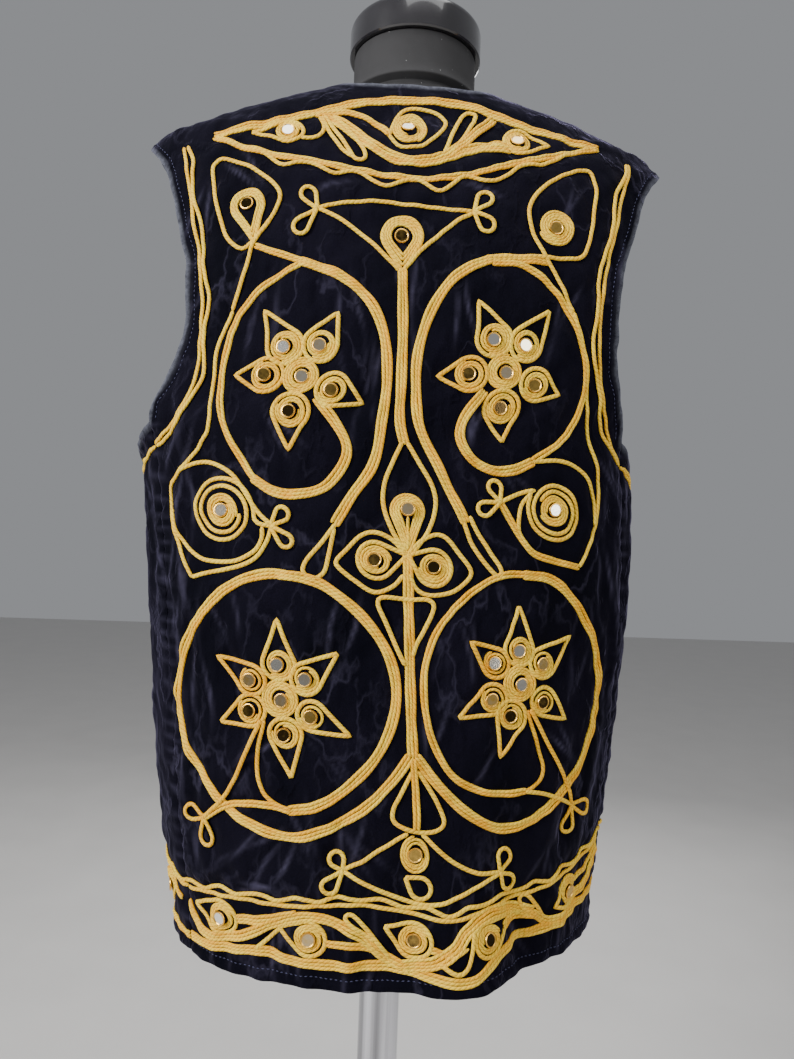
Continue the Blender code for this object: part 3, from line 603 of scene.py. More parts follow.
def yoke_motifs() -> list[Motif]:
    """The lens-shaped yoke border with its three eyes and its leaves."""
    upper = [(-170, 1312), (-128, 1321.5), (-84, 1332), (-51, 1342.5), (0, 1348.5), (44, 1347.5),
             (70, 1340.5), (106, 1330), (145, 1322), (167, 1319.5)]
    lower = [(-171, 1311), (-129, 1294), (-81, 1283), (-40, 1274.5), (6, 1269), (46, 1275),
             (82, 1288), (120, 1302), (166, 1319)]
    sweep = [(-74, 1331), (-50, 1314), (-30, 1297), (-10, 1287), (8, 1285), (28, 1291), (48, 1300),
             (66, 1304), (84, 1305)]
    wave = [(-161, 1306), (-145, 1299), (-124, 1292), (-106, 1280), (-84, 1282), (-64, 1272),
            (-43, 1274), (-20, 1261), (4, 1269), (26, 1259), (45, 1274), (64, 1271), (78, 1276),
            (94, 1289), (113, 1293), (136, 1308)]
    return [
        Motif("yoke_cords_upper", (line(upper, Weight.BAND),), (), ("yoke_band_upper",)),
        Motif("yoke_cords_lower", (line(lower, Weight.PAIR),), (), ("yoke_band_lower",)),
        Motif("yoke_wave_cord", (line(wave, over=0.3),)),
        Motif("yoke_leaves", (
            line(sweep, Weight.BROAD, over=0.3),
            line([(-82, 1329), (-60, 1333), (-42, 1329), (-26, 1320), (-18, 1310)], Weight.PAIR,
                  over=0.5),
            line([(-74, 1329), (-64, 1314), (-52, 1295), (-46, 1286), (-39, 1285), (-38, 1292),
                  (-46, 1306), (-66, 1330)], over=0.6),
            line([(-76, 1327), (-67, 1310), (-58, 1296), (-48, 1287)], over=0.2),
            line([(28, 1296), (36, 1318), (44, 1337), (50, 1339.5), (54.5, 1335), (46, 1316),
                  (32, 1294)], over=0.6),
            line([(30, 1293), (45, 1307), (60, 1324), (70, 1335)], Weight.BAND, over=0.8),
            line([(34, 1291), (54, 1301), (72, 1309), (82, 1308)], Weight.PAIR, over=0.4),
        )),
        Motif("yoke_eye_centre_cords", (
            coil((-2, 1319), 15, 6.8, 3.9, -60.0),
            line([(-18, 1311), (-10, 1336), (6, 1340), (22, 1336), (29, 1329), (27, 1320),
                  (18, 1309), (6, 1300), (-10, 1301), (-20, 1312)]),
        ), ((-2.8, 1319.2),), ("rosette_yoke_centre",)),
        Motif("yoke_eye_left_cords", (
            coil((-104, 1313), 10.4, 6.2, 2.0, 10.0, 0.80),
            drop((-103, 1313), 12.2, (-136, 1313), squash=0.80),
            line([(-93, 1306), (-79, 1308), (-73.5, 1317), (-78, 1328)]),
        ), ((-104, 1313),), ("rosette_yoke_left",)),
        Motif("yoke_eye_right_cords", (
            coil((91, 1314), 11.2, 6.2, 2.3, 190.0, 0.92),
            drop((93, 1314), 13.4, (119, 1313), squash=0.92),
        ), ((91, 1314.2),), ("rosette_yoke_right",)),
    ]


def upper_motifs() -> list[Motif]:
    """The bow under the yoke, the corner leaves and the spine."""
    return [
        Motif("bow_cord", (
            line([(-74, 1240), (-55, 1245), (-26, 1247), (12, 1244.5), (36, 1243), (54, 1243)]),
            line([(-74, 1240), (-55, 1231), (-32, 1214), (-12, 1196), (-6, 1189)]),
            line([(54, 1242), (36, 1229.5), (14, 1209), (0, 1193)]),
            *knot((-74, 1240), (-82, 1253), (-87, 1224), 6.2),
            *knot((54, 1242.5), (63, 1255), (65, 1232), 6.2),
        )),
        Motif("top_coil_cords", (
            drop((-4, 1218), 16, (-3, 1188)),
            *nest((-4, 1218), 13.8, [(-3, 1193), (-3, 1197.5), (-3, 1202)]),
        ), ((-4.5, 1217.2),), ("rosette_top",)),
        Motif("spine_cords_upper", (
            line([(-3, 1190), (-2, 1150), (1, 1105), (7, 1048)], Weight.BAND),
            line([(5, 1050), (-5, 1034), (-14, 1015), (-16, 998), (-10, 979), (0, 962)]),
            line([(9, 1050), (16, 1034), (24, 1017), (26, 1000), (19, 980), (5, 962)]),
        ), (), ("spine_band_upper",)),
        Motif("corner_leaf_left", (
            line([(-113, 1232), (-119, 1224), (-128, 1211), (-139, 1207), (-152, 1219),
                  (-162, 1246), (-168, 1276), (-166, 1285), (-156, 1287), (-131, 1277),
                  (-111, 1261), (-106, 1249), (-113, 1232), (-126, 1212), (-133, 1188),
                  (-143, 1154)], over=0.4),
            drop((-134, 1244), 13.8, (-126.5, 1212)),
            *nest((-134, 1244), 11.7, [(-128, 1217), (-129.5, 1222)]),
        ), ((-134.2, 1245),), ("rosette_corner_left",)),
        Motif("corner_leaf_right", (
            line([(64, 1204), (100, 1208), (132, 1210), (149, 1214), (156, 1229), (160, 1256),
                  (161, 1279), (154, 1293), (134, 1286), (112, 1270), (101, 1250), (104, 1229),
                  (116, 1209), (128, 1190), (142, 1166)], over=0.4),
            coil((125, 1236), 15.2, 6.6, 4.0, 200.0),
        ), ((124.6, 1235.2),), ("rosette_corner_right",)),
    ]


def oval_motifs() -> list[Motif]:
    """The two upper ovals, their inner bands and the coils in their boxes."""
    return [
        Motif("oval_cords_inner_left", (
            line([(-87, 1195), (-54, 1183), (-31, 1165), (-17, 1138), (-10, 1100), (-10, 1062),
                  (-22, 1030), (-40, 1006), (-56, 982)], Weight.BAND),
            line([(-125, 1208), (-106, 1202), (-87, 1195.5), (-70, 1189.5), (-54, 1182.5)],
                  Weight.PAIR),
            line([(-55, 983), (-68, 966), (-80, 953), (-83, 944), (-76, 938.5), (-66.5, 944),
                  (-62, 958), (-56, 979)]),
        ), (), ("oval_inner_left",)),
        Motif("oval_cords_outer_left", (
            line([(-86, 1193), (-101, 1184), (-124, 1167), (-140, 1142), (-146, 1110),
                  (-143, 1076), (-134, 1044), (-119, 1017), (-103, 1008), (-86, 1005.5)],
                  Weight.PAIR),
            line([(-120, 1017), (-104, 1007), (-86, 1005), (-63, 1011), (-46, 1029), (-40, 1046),
                  (-47, 1064), (-64, 1083)], Weight.BAND),
            line([(-143, 1154), (-154, 1122), (-153, 1090), (-153, 1060), (-167, 1040),
                  (-188, 1022), (-201, 1008), (-200, 987), (-190, 956), (-181, 934)]),
        ), (), ("oval_outer_left",)),
        Motif("oval_cords_inner_right", (
            line([(118, 1206), (90, 1205), (64, 1201), (38, 1184), (19, 1153), (12, 1115),
                  (19, 1070), (32, 1029), (50, 987)], Weight.BAND),
            line([(46, 994), (53.5, 972), (63, 956), (75, 945), (76.5, 952), (68, 966),
                  (58.5, 981), (53.5, 993)]),
        ), (), ("oval_inner_right",)),
        Motif("oval_cords_outer_right", (
            line([(70, 1200), (99, 1199), (128, 1178), (150, 1145), (160, 1110), (156, 1079),
                  (142, 1058), (112, 1040)], Weight.PAIR),
            line([(113, 1040), (94, 1032), (75, 1031), (59, 1040), (53, 1056), (58, 1075),
                  (70, 1095)], Weight.BAND),
            line([(142, 1166), (157, 1126), (165, 1092), (174, 1060), (180, 1033), (177, 1000),
                  (166, 974), (153, 954)]),
            line([(112, 1040), (140, 1042), (163, 1033), (174, 1013), (172, 990)]),
        ), (), ("oval_outer_right",)),
        Motif("spiral_cords_left", (
            coil((-149, 990), 13.6, 6.4, 3.2, -20.0),
            coil((-149, 990), 28, 16, 2.0, -8.0, weight=Weight.LINE),
            line([(-201, 1011), (-184, 1024), (-160, 1029), (-141, 1022), (-128, 1006),
                  (-117, 989), (-107, 980)]),
            line([(-121.2, 990), (-120.5, 984), (-115.5, 980), (-107, 979)]),
            line([(-199, 990), (-190, 966), (-171, 951), (-145, 949), (-124, 957), (-115.5, 968),
                  (-114.5, 978)]),
            line([(-181, 935), (-165, 939), (-147, 943), (-124, 951), (-112, 965), (-107, 979)]),
            *knot((-107, 979), (-97.5, 989), (-95.5, 968), 5.5),
        ), ((-149, 990.2),), ("rosette_spiral_left",)),
        Motif("spiral_cords_right", (
            coil((129, 1001), 13, 6.4, 3.0, 200.0),
            coil((130, 1000), 25.5, 15.5, 2.0, 150.0, weight=Weight.LINE),
            line([(80, 1005), (92, 1011), (104, 1015), (112, 1016)]),
            line([(109, 1015), (98, 1001), (95, 983), (103, 968)]),
            line([(80, 1005), (87, 993), (95, 979), (107, 965), (130, 958), (153, 954)],
                  Weight.PAIR),
            *knot((80, 1005), (76.5, 1017), (66, 999), 5.5),
        ), ((129.2, 1001),), ("rosette_spiral_right",)),
    ]


def middle_motifs() -> list[Motif]:
    """The three-leaved middle, the lower spine and what hangs below it."""
    hub = (1, 960)
    return [
        Motif("trefoil_cords_top", (
            drop((3, 995), 13, hub, Weight.COIL),
            drop((3, 995), 10.9, (1, 964), Weight.COIL),
            drop((3, 995.2), 8.8, (1, 968), Weight.COIL),
            drop((3, 995.5), 6.7, (2, 972), Weight.COIL),
            line([(3, 990.5), (2, 976), (1, 964)], Weight.COIL, over=0.4),
        ), ((3.2, 996.5),), ("rosette_trefoil_top",)),
        Motif("trefoil_cords_left", (
            coil((-25, 955), 12.2, 6.2, 2.8, 0.0, 0.92),
            drop((-25, 955), 14.2, hub),
            line([(0, 960), (-10, 971), (-24, 977), (-36, 974), (-48, 962), (-56, 953), (-53, 947),
                  (-42, 938), (-27, 930), (-12, 935), (-3, 944)]),
        ), ((-26, 955.5),), ("rosette_trefoil_left",)),
        Motif("trefoil_cords_right", (
            coil((21.5, 950.5), 12.2, 6.2, 2.8, 180.0, 0.96),
            drop((21.5, 950.5), 14.2, hub),
            line([(1, 960), (10, 970), (22, 976.5), (32, 975), (43, 962), (52, 949), (47, 940),
                  (33, 931), (16, 928.5), (6, 934), (2, 945)]),
        ), ((21.2, 951.2),), ("rosette_trefoil_right",)),
        Motif("spine_cords_lower", (
            line([(1, 962), (0, 930), (-1, 890), (-2, 840), (-2, 800)], Weight.BAND),
            line([(-5, 873), (-12, 888), (-20, 908), (-24.5, 921), (-20, 926), (0, 925), (15, 925),
                  (19.5, 919), (13, 904), (5, 890), (1, 880)], over=0.9),
        ), (), ("spine_band_lower",)),
        Motif("bell_cords", (
            line([(-3, 790), (-11, 776), (-19, 761), (-19.5, 751), (-10, 745), (3, 742), (16, 744),
                  (20.5, 751), (16, 765), (8, 779), (1, 790)]),
            line([(-2, 799), (-1, 770), (-2, 744)], Weight.PAIR, over=0.4),
        )),
        Motif("low_coil_cords", (
            coil((-4, 725), 11.4, 6, 2.7, 90.0, 1.26),
            drop((-2, 699.5), 8.2, (-13, 708)),
        ), ((-4.5, 725.2),), ("rosette_low",)),
        Motif("low_bow_cord", (
            line([(-9, 742), (-22, 735), (-40, 724), (-62, 712.5)]),
            line([(2, 741), (14, 729), (28, 717), (44, 709), (66, 706)]),
            line([(-62, 712), (-44, 703), (-22, 693), (-4, 688), (14, 688), (34, 695), (52, 701),
                  (66, 705)], over=0.3),
            *knot((-62, 712), (-66, 721), (-73, 701), 5.8),
            *knot((66, 705.5), (71, 718), (74, 697), 6.2),
        )),
    ]


def ring_motifs() -> list[Motif]:
    """The two lower rings, each of an outer and an inner turn, the flowers and the knots."""
    left_out = [(-83, 939), (-112, 941), (-142, 931), (-171, 907), (-193, 874), (-203, 840),
                (-198, 806), (-181, 780), (-158, 755), (-128, 741), (-100, 736.5), (-68, 746),
                (-40, 763), (-19, 783), (-4, 802)]
    left_in = [(-104, 940.8), (-83, 939), (-64, 932), (-38, 911), (-20, 885), (-13, 857),
               (-17, 829), (-31, 801), (-57, 775), (-81, 761), (-102, 757)]
    right_out = [(97, 947), (126, 942), (154, 916), (174, 879), (176, 831), (156, 786), (126, 757),
                 (98, 743), (68, 741), (40, 756), (18, 778), (0, 802)]
    right_in = [(116, 945), (97, 947), (78, 946), (58, 936), (36, 918), (17, 891), (9, 860),
                (12, 822), (26, 790), (48, 774), (72, 769), (95, 769)]
    upper_left = [Petal(124, 64), Petal(64, 57), Petal(-21, 56), Petal(-98, 60), Petal(180, 55)]
    upper_right = [Petal(114, 62), Petal(57, 64), Petal(-16, 52), Petal(-87, 57), Petal(187, 55)]
    lower_left = [Petal(91, 62), Petal(39, 60), Petal(-26, 60), Petal(-84, 61), Petal(203, 56),
                  Petal(150, 60)]
    lower_right = [Petal(89, 63), Petal(37, 63), Petal(-35, 56), Petal(-108, 62), Petal(206, 60),
                   Petal(141, 54)]
    return [
        Motif("ring_cords_left", (
            line(left_out, Weight.BAND), line(left_in, Weight.BAND, over=0.1),
            line([(-100, 757), (-119, 759.5), (-139, 759), (-159, 753), (-178, 741)], Weight.PAIR,
                  over=1),
        ), (), ("ring_left",)),
        Motif("ring_cords_right", (
            line(right_out, Weight.BAND), line(right_in, Weight.PAIR, over=0.1),
            line([(93, 769), (112, 765), (130, 758), (147, 749)], over=1),
        ), (), ("ring_right",)),
        flower("flower_upper_left", (-79, 1100), upper_left, ("star_upper_left",)),
        flower("flower_upper_right", (85, 1111), upper_right, ("star_upper_right",)),
        flower("flower_lower_left", (-105, 843), lower_left, ("star_lower_left",), 27.5, 12.3, [
            line([(-121.5, 826), (-140, 788), (-158, 760), (-178, 741)], over=1.6),
            line([(-119, 826), (-127, 792), (-124, 772), (-113, 761), (-101, 757.5)]),
            *knot((-178, 741), (-191, 743), (-177, 725), 6.2)]),
        flower("flower_lower_right", (91, 858), lower_right, ("star_lower_right",), 27.5, 12.3, [
            line([(99, 837), (120, 801), (136, 774), (147, 750)], over=1.6),
            line([(97, 836), (108, 803), (112, 787), (108, 775), (94, 769)]),
            *knot((147, 749), (160, 746), (140, 733), 6.2)]),
    ]


def hem_motifs() -> list[Motif]:
    """The hem's border: two lines above, the eyes and stems between, and a band below."""
    upper = [(-209.5, 674), (-172, 680), (-133, 682), (-104, 682), (-76, 685), (-49, 686),
             (-22, 683), (18, 675.5), (55, 680), (101, 684), (144, 691), (209.5, 706)]
    lower = [(-209.5, 633), (-187, 635), (-135, 642), (-100, 639), (-51, 639.5), (-24, 639),
             (9, 632), (33, 631), (58, 641), (93, 648), (136, 650), (209.5, 660)]
    eyes = [((-167, 663), (-197, 666)), ((-92, 658), (-117, 664)), ((-10, 660), (-32, 670)),
            ((50, 657), (74, 670)), ((145, 672), (124, 664))]
    motifs = [
        Motif("hem_cords_upper", (
            line(upper), line(wavy(shifted(upper, 0, 5.2), 2.4, 34), over=0.4),
        ), (), ("hem_band_back_upper",)),
        Motif("hem_cords_lower", (line(lower, Weight.BAND),), (), ("hem_band_back_lower",)),
        Motif("hem_stem_cords", (
            line([(-208, 664), (-198, 651), (-181, 645), (-151, 651), (-125, 664), (-99, 674),
                  (-77, 674), (-53, 664), (-35, 648), (-18, 640)], Weight.BAND, over=0.2),
            line([(-153, 664), (-128, 668), (-100, 676)], Weight.BAND),
            line([(-138, 642), (-125, 654), (-108, 670)]),
            line([(-78, 656), (-56, 655.5), (-38, 651)], Weight.PAIR),
            line([(-29, 645), (-44, 666), (-56, 678), (-62, 677), (-58, 671), (-40, 659)],
                  over=0.8),
            line([(-20, 640), (4, 644), (20, 654), (32, 667), (52, 676), (76, 674), (100, 666)],
                  Weight.BROAD, over=0.2),
            line([(1, 654.5), (16, 650), (30, 656)], Weight.PAIR),
            line([(8, 644), (20, 637), (28, 640), (33, 652), (36, 666)], over=0.8),
            line([(66, 662), (82, 666), (100, 664), (116, 654), (136, 656), (160, 662), (182, 674),
                  (208, 696)], Weight.BAND, over=0.3),
            line([(112, 658), (100, 674), (92, 682), (86, 679), (90, 670), (104, 662)], over=0.8),
            line([(160, 676), (176, 684), (192, 693), (208, 702)], Weight.PAIR),
            line([(150, 656), (172, 664), (190, 676), (208, 690)]),
        )),
    ]
    for k, (centre, tip) in enumerate(eyes, 1):
        motifs.append(Motif(f"eye_hem_{k}_cords", tuple(eye(centre, tip, 12.6, 0.95)), (centre,),
                            (f"rosette_hem_{k}",)))
    return motifs


def armhole_motifs() -> list[Motif]:
    """The borders beside the back's armholes."""
    left = [(-201, 1305), (-186, 1245), (-174.5, 1185), (-171.5, 1135), (-172, 1095), (-184, 1068),
            (-200, 1054.5), (-219, 1044)]
    right = [(198.5, 1311), (183, 1248), (172, 1195), (169, 1150), (176, 1112), (190, 1082),
             (201, 1062), (219, 1044)]
    return [
        Motif("armhole_cords_back_left", (
            line(left), line(wavy(shifted(left, 5.2, -0.6), 2.6, 62), over=0.5),
        ), (), ("armhole_band_back_left",)),
        Motif("armhole_cords_back_right", (
            line(right),
            line(wavy(shifted(right, -5.2, -0.6), 2.6, 66, 0.8), over=0.5),
        ), (), ("armhole_band_back_right",)),
    ]


def front_motifs(side: Side) -> list[Motif]:
    """The front's border, its flower, and the coils above and below it."""
    word = side.word

    def in_from_edge(height: float, inside: float) -> Place:
        """A place this far in from the front edge."""
        return float(FORM.front_edge(np.array(height * MM))) / MM - inside, height

    def here(place: Place, arc: float = 0.0, height: float = 0.0) -> Place:
        """A place on this side, moved along."""
        return side.value * (place[0] + arc), place[1] + height

    def along_hem(from_height: float, height: float, inside: float) -> list[Place]:
        """A line that leaves the side seam and levels out on its way to the front edge."""
        start, end = SEAM_ARC_HEM / MM + 0.8, in_from_edge(height, inside)[0]
        return [(start + share * (end - start), height + (from_height - height) * (1 - share)**2)
                for share in np.linspace(0, 1, 7)]

    heights = (645, 750, 860, 970, 1070, 1160, 1220, 1280, 1330)
    edge, inner = ([in_from_edge(h, inside) for h in heights] for inside in (16, 26))
    up_start, low_start = (708, 662) if side is Side.RIGHT else (674, 631.6)
    upper, lower = along_hem(up_start, 684, 26), along_hem(low_start, 636, 22)
    hole = (1104, 1140, 1180, 1225, 1268, 1304)
    arcs = FORM.armhole(FRONT_ARMHOLE, np.array(hole) * MM, True) / MM + 22
    border = [(219, 1043), (256, 1029), (292, 1024), (330, 1033), (364, 1058), *zip(arcs, hole)]
    stem = [(222, 660), (250, 672), (280, 662), (310, 650), (340, 660), (368, 672), (398, 660)]
    eyes, tips = [(262, 656), (326, 664), (384, 656)], [(240, 662), (304, 672), (362, 664)]
    high, low = in_from_edge(1060, 85), in_from_edge(760, 100)
    petals = [Petal(90, 58), Petal(33, 56), Petal(-28, 57), Petal(-92, 58), Petal(208, 56),
              Petal(151, 57)]
    return [
        Motif(f"edge_cords_{word}", (
            line(both(edge, side), Weight.BAND),
            line(wavy(both(inner, side), 2.8, 50), over=0.3),
        ), (), (f"edge_band_{word}",)),
        Motif(f"hem_cords_front_{word}_upper", (
            line(both(upper, side)),
            line(wavy(both(shifted(upper, 0, 5.2), side), 2.4, 34), over=0.4),
        ), (), (f"hem_band_front_{word}_upper",)),
        Motif(f"hem_cords_front_{word}_lower", (line(both(lower, side), Weight.BAND),), (),
              (f"hem_band_front_{word}_lower",)),
        Motif(f"hem_stem_cords_front_{word}", (
            line(both(stem, side), Weight.PAIR),
            *(cord for middle, tip in zip(both(eyes, side), both(tips, side))
              for cord in eye(middle, tip, 11.2)),
        ), tuple(both(eyes, side))),
        Motif(f"armhole_cords_front_{word}", (
            line(both(border, side)),
            line(wavy(both(shifted(border, 5.6, -1), side), 2.4, 50), over=0.4),
        ), (), (f"armhole_band_front_{word}",)),
        flower(f"flower_front_{word}", here(in_from_edge(900, 105)), petals,
               (f"star_front_{word}",), 27.5, 12.3),
        Motif(f"coil_cords_front_{word}", (
            coil(here(high), 12.8, 6, 3),
            coil(here(high), 25, 15, 2, 60, weight=Weight.LINE),
            drop(here(high), 29, here(high, 10, 74)),
            coil(here(low), 12.8, 6, 3),
            drop(here(low), 17, here(low, -4, 42)),
            *knot(here(low, 0, -22), here(low, -11, -32), here(low, 11, -32)),
        ), (here(high), here(low))),
    ]


CREASES = [Crease(a * MM, h * MM, length * MM, lean, half * MM, depth * MM)
           for a, h, length, lean, half, depth in (
    (-190, 980, 300, 3, 5.5, 2.2), (-206, 900, 260, -2, 5, -2), (-196, 760, 200, 6, 6, 2.2),
    (-182, 850, 170, -8, 7, -1.6), (-150, 720, 110, 52, 8, 2), (-118, 716, 90, 40, 6.5, -1.8),
    (-90, 722, 110, -24, 7, 2.2), (-60, 735, 120, 14, 6, -2), (-40, 712, 90, -38, 6, 2),
    (-135, 690, 60, 78, 5, 1.4), (-175, 650, 90, 8, 8.5, 2.4), (-120, 640, 90, -6, 9, -2.6),
    (-60, 640, 100, 10, 9, 2.6), (85, 655, 120, -16, 10, -4), (125, 660, 130, -10, 9.5, 3),
    (165, 670, 140, -6, 8.5, -2.6), (110, 720, 100, 30, 7, 2), (165, 745, 150, 10, 7, 2.2),
    (190, 800, 200, 4, 6, -2), (200, 900, 240, 2, 5.5, 2.2), (178, 960, 160, -8, 6.5, -1.8),
    (195, 1020, 110, -20, 7, 1.8), (-185, 1045, 90, 34, 7, 2), (-165, 1010, 80, 62, 6, -1.6),
    (-120, 1150, 110, 20, 9, -1.4), (-50, 1140, 120, -12, 8, 1.6), (-100, 1060, 80, -30, 7, 1.4),
    (-28, 1090, 120, 8, 7, -1.6), (40, 1160, 110, -16, 8, 1.6), (120, 1150, 100, 24, 8, -1.4),
    (60, 1070, 90, 14, 7, 1.4), (100, 1010, 80, -50, 6.5, -1.4), (-60, 900, 110, 26, 8, 1.4),
    (-150, 880, 120, -18, 8, -1.6), (-135, 800, 90, 44, 7, 1.4), (-75, 800, 80, -30, 7, -1.4),
    (45, 880, 110, -22, 7.5, 1.4), (145, 880, 110, 16, 7.5, -1.4), (130, 800, 80, -34, 6.5, 1.4),
    (60, 800, 80, 28, 7, -1.2), (-140, 1270, 70, -36, 6.5, 1.2), (-60, 1262, 60, 70, 5, -1),
    (60, 1262, 60, -68, 5, -1), (135, 1262, 70, 30, 6.5, 1.2), (-185, 1230, 120, 6, 5.5, 1.4),
    (185, 1220, 120, -6, 5.5, 1.4), (0, 1160, 140, 0, 4.5, -0.8), (12, 830, 130, 4, 6, 1.2),
    (235, 950, 260, 3, 6, 2), (250, 800, 200, -4, 7, -2), (285, 700, 150, 6, 10, -2.8),
    (300, 900, 180, -8, 8, 1.8), (345, 990, 130, 28, 8, -1.6), (400, 700, 150, 8, 9, 2.6),
    (440, 780, 140, -14, 8, -1.6), (380, 830, 110, 36, 7, 1.4), (450, 1000, 120, -20, 8, 1.6),
    (480, 900, 160, 6, 7.5, -1.6), (440, 1180, 110, 18, 8, 1.6), (475, 1250, 90, -26, 7, -1.4),
    (300, 1030, 80, 64, 7, 1.6), (410, 1120, 90, -44, 7, -1.4), (-235, 960, 240, -3, 6, -2),
    (-252, 820, 220, 5, 7, 2.2), (-278, 690, 140, -7, 10, 2.6), (-305, 880, 190, 9, 8, -1.8),
    (-350, 970, 130, -24, 8, 1.6), (-385, 690, 150, -6, 9, -2.6), (-430, 790, 150, 12, 8, 1.6),
    (-390, 850, 110, -40, 7, -1.4), (-460, 990, 120, 22, 8, -1.6), (-485, 890, 150, -8, 7.5, 1.6),
    (-445, 1170, 110, -16, 8, -1.6), (-470, 1240, 90, 24, 7, 1.4), (-296, 1035, 80, -60, 7, 1.6),
    (-405, 1110, 90, 40, 7, 1.4),
)]


def ruche(arc: Points, height: Points) -> Points:
    """Close little puckers that run across a side seam, from -1 to 1."""
    return np.sin(height * 430 + 2.2 * np.sin(height * 71) + 40 * arc)


class NearField:
    """The distance to the nearest of many points, kept on an even grid of (arc, height)."""

    def __init__(self, points: Points, reach: float, step: float = 0.0020) -> None:
        """Stamps each point on the grid's cells within its reach."""
        self.arcs = np.arange(-0.60, 0.6001, step)
        self.heights = np.arange(0.604, 1.3901, step)
        self.far = reach
        grid = np.full((len(self.heights), len(self.arcs)), reach)
        span = int(reach / step) + 1
        row = np.round((points[:, 1] - self.heights[0]) / step).astype(int)
        column = np.round((points[:, 0] - self.arcs[0]) / step).astype(int)
        for down in range(-span, span + 1):
            for along in range(-span, span + 1):
                r = np.clip(row + down, 0, len(self.heights) - 1)
                c = np.clip(column + along, 0, len(self.arcs) - 1)
                away = np.hypot(self.heights[r] - points[:, 1], self.arcs[c] - points[:, 0])
                np.minimum.at(grid, (r, c), away)
        self.grid = grid

    def read(self, arc: Points, height: Points) -> Points:
        """The distance at any places, read between the grid's cells."""
        return read_grid(self.grid, arc, self.arcs, height, self.heights)


class Cloth:
    """The velvet's hang: creases, the pull of the stitched cords, and the turned edges.

    Attributes:
        sink: how far the couching pulls the velvet in under a cord.
        puff: how far it stands out between cords.
        turned: width of the turned edge.
    """

    sink = 0.0010
    puff = 0.0012
    turned = 0.0085

    def __init__(self, cords: Iterable[Cord]) -> None:
        """Measures how near each place is to the cords and to the free edges."""
        self.near_cord = NearField(np.vstack([cord.path for cord in cords]), 0.016)
        self.near_edge = NearField(self.free_edges(), 0.013)

    @staticmethod
    def free_edges() -> Points:
        """Close (arc, height) points along the armholes, the neck and the front edges."""
        heights = np.linspace(UNDERARM, TIP, 900)
        lines = []
        for sign in (-1, 1):
            for rows, in_front in ((BACK_ARMHOLE, False), (FRONT_ARMHOLE, True)):
                arcs = FORM.armhole(rows, heights, in_front)
                lines.append((sign * arcs, heights - in_front * sag(arcs, heights)))
            tall = np.linspace(HEM, NECK_POINT, 900)
            lines.append((sign * FORM.front_edge(tall), tall))
            neck = back_neckline(np.linspace(0, 1, 200))
            lines.append((sign * neck[0], neck[1]))
        return np.vstack([np.column_stack(pair) for pair in lines])

    def edge_distance(self, arc: Points, height: Points) -> Points:
        """Distance to the nearest free edge or to the hem, up to the field's reach."""
        return np.minimum(self.near_edge.read(arc, height), height - HEM)

    def relief(self, arc: Points, height: Points) -> Points:
        """How far the velvet stands off the plain form, outwards."""
        out = np.zeros_like(arc)
        for crease in CREASES:
            _, across, left = crease.reach(arc, height, 0.0035, 0.021)
            out += 1.35 * crease.depth * left * np.exp(-((across / crease.half_width) ** 2))
        out += 0.0006 * np.sin(arc * 190 + 3.0 * np.sin(height * 61)) * np.sin(height * 143 + 1)
        out += 0.0005 * np.sin(arc * 97 - height * 131 + 2.0 * np.sin(arc * 44))
        out += 0.0004 * np.sin(arc * 330 + height * 120 + 2.6 * np.sin(height * 83))
        from_seam = np.abs(arc) - side_seam(np.minimum(height, UNDERARM))
        below = np.clip((UNDERARM - height) / 0.02, 0, 1)
        out -= 0.0016 * below * np.exp(-((from_seam / 0.0030) ** 2))
        out += 0.0006 * below * ruche(arc, height) * np.exp(-((from_seam / 0.0130) ** 2))
        cord = self.near_cord.read(arc, height)
        out += self.puff * (1 - np.exp(-((cord / 0.011) ** 2)))
        out -= self.sink * np.exp(-((cord / 0.0042) ** 2))
        edge = self.edge_distance(arc, height)
        out += 0.0007 * np.clip((self.turned - edge) / 0.002, 0, 1)
        out -= 0.0006 * np.exp(-(((edge - self.turned) / 0.0022) ** 2))
        calm = np.clip((1.362 - height) / 0.040, 0.0, 1.0)
        return out * (0.30 + 0.70 * calm)

    def painted_sheen(self, arc: Points, height: Points) -> Points:
        """How much painted sheen the velvet carries, a lighter colour for light caught on the pile:
        thin lines along the ridges and beside the seams.
        """
        out = np.zeros_like(arc)
        # painted sheen in thin lines along and beside each crease's ridge
        for k, crease in enumerate(CREASES):
            for aside in (0.0, 1.7 * crease.half_width):
                along, across, left = crease.reach(arc - aside, height - 0.4 * aside, 0.0040,
                                                   0.019, 7 * math.sin(2.3 * k), aside * 300)
                broken = 0.55 + 0.45 * np.sin(along / 0.011 + 3.0 * k)
                out += left * broken * np.exp(-((across / 0.0016) ** 2))
        from_seam = np.abs(arc) - side_seam(np.minimum(height, UNDERARM))
        # painted highlight on the raised tops of the puckers beside the side seams
        raised = np.clip(ruche(arc, height), 0, 1) ** 2
        out += 0.45 * raised * np.exp(-((from_seam / 0.0120) ** 2)) * (height < UNDERARM)
        return np.clip(out, 0, 1)

    def place(self, arc: Points, height: Points, lift: Points = 0.0) -> tuple[Points, Points]:
        """Points on the creased velvet at a lift, and the normals there."""
        base, normal = FORM.surface(arc, height)
        out = self.relief(np.asarray(arc, float), np.asarray(height, float)) + lift
        return base + normal * out[..., None], normal


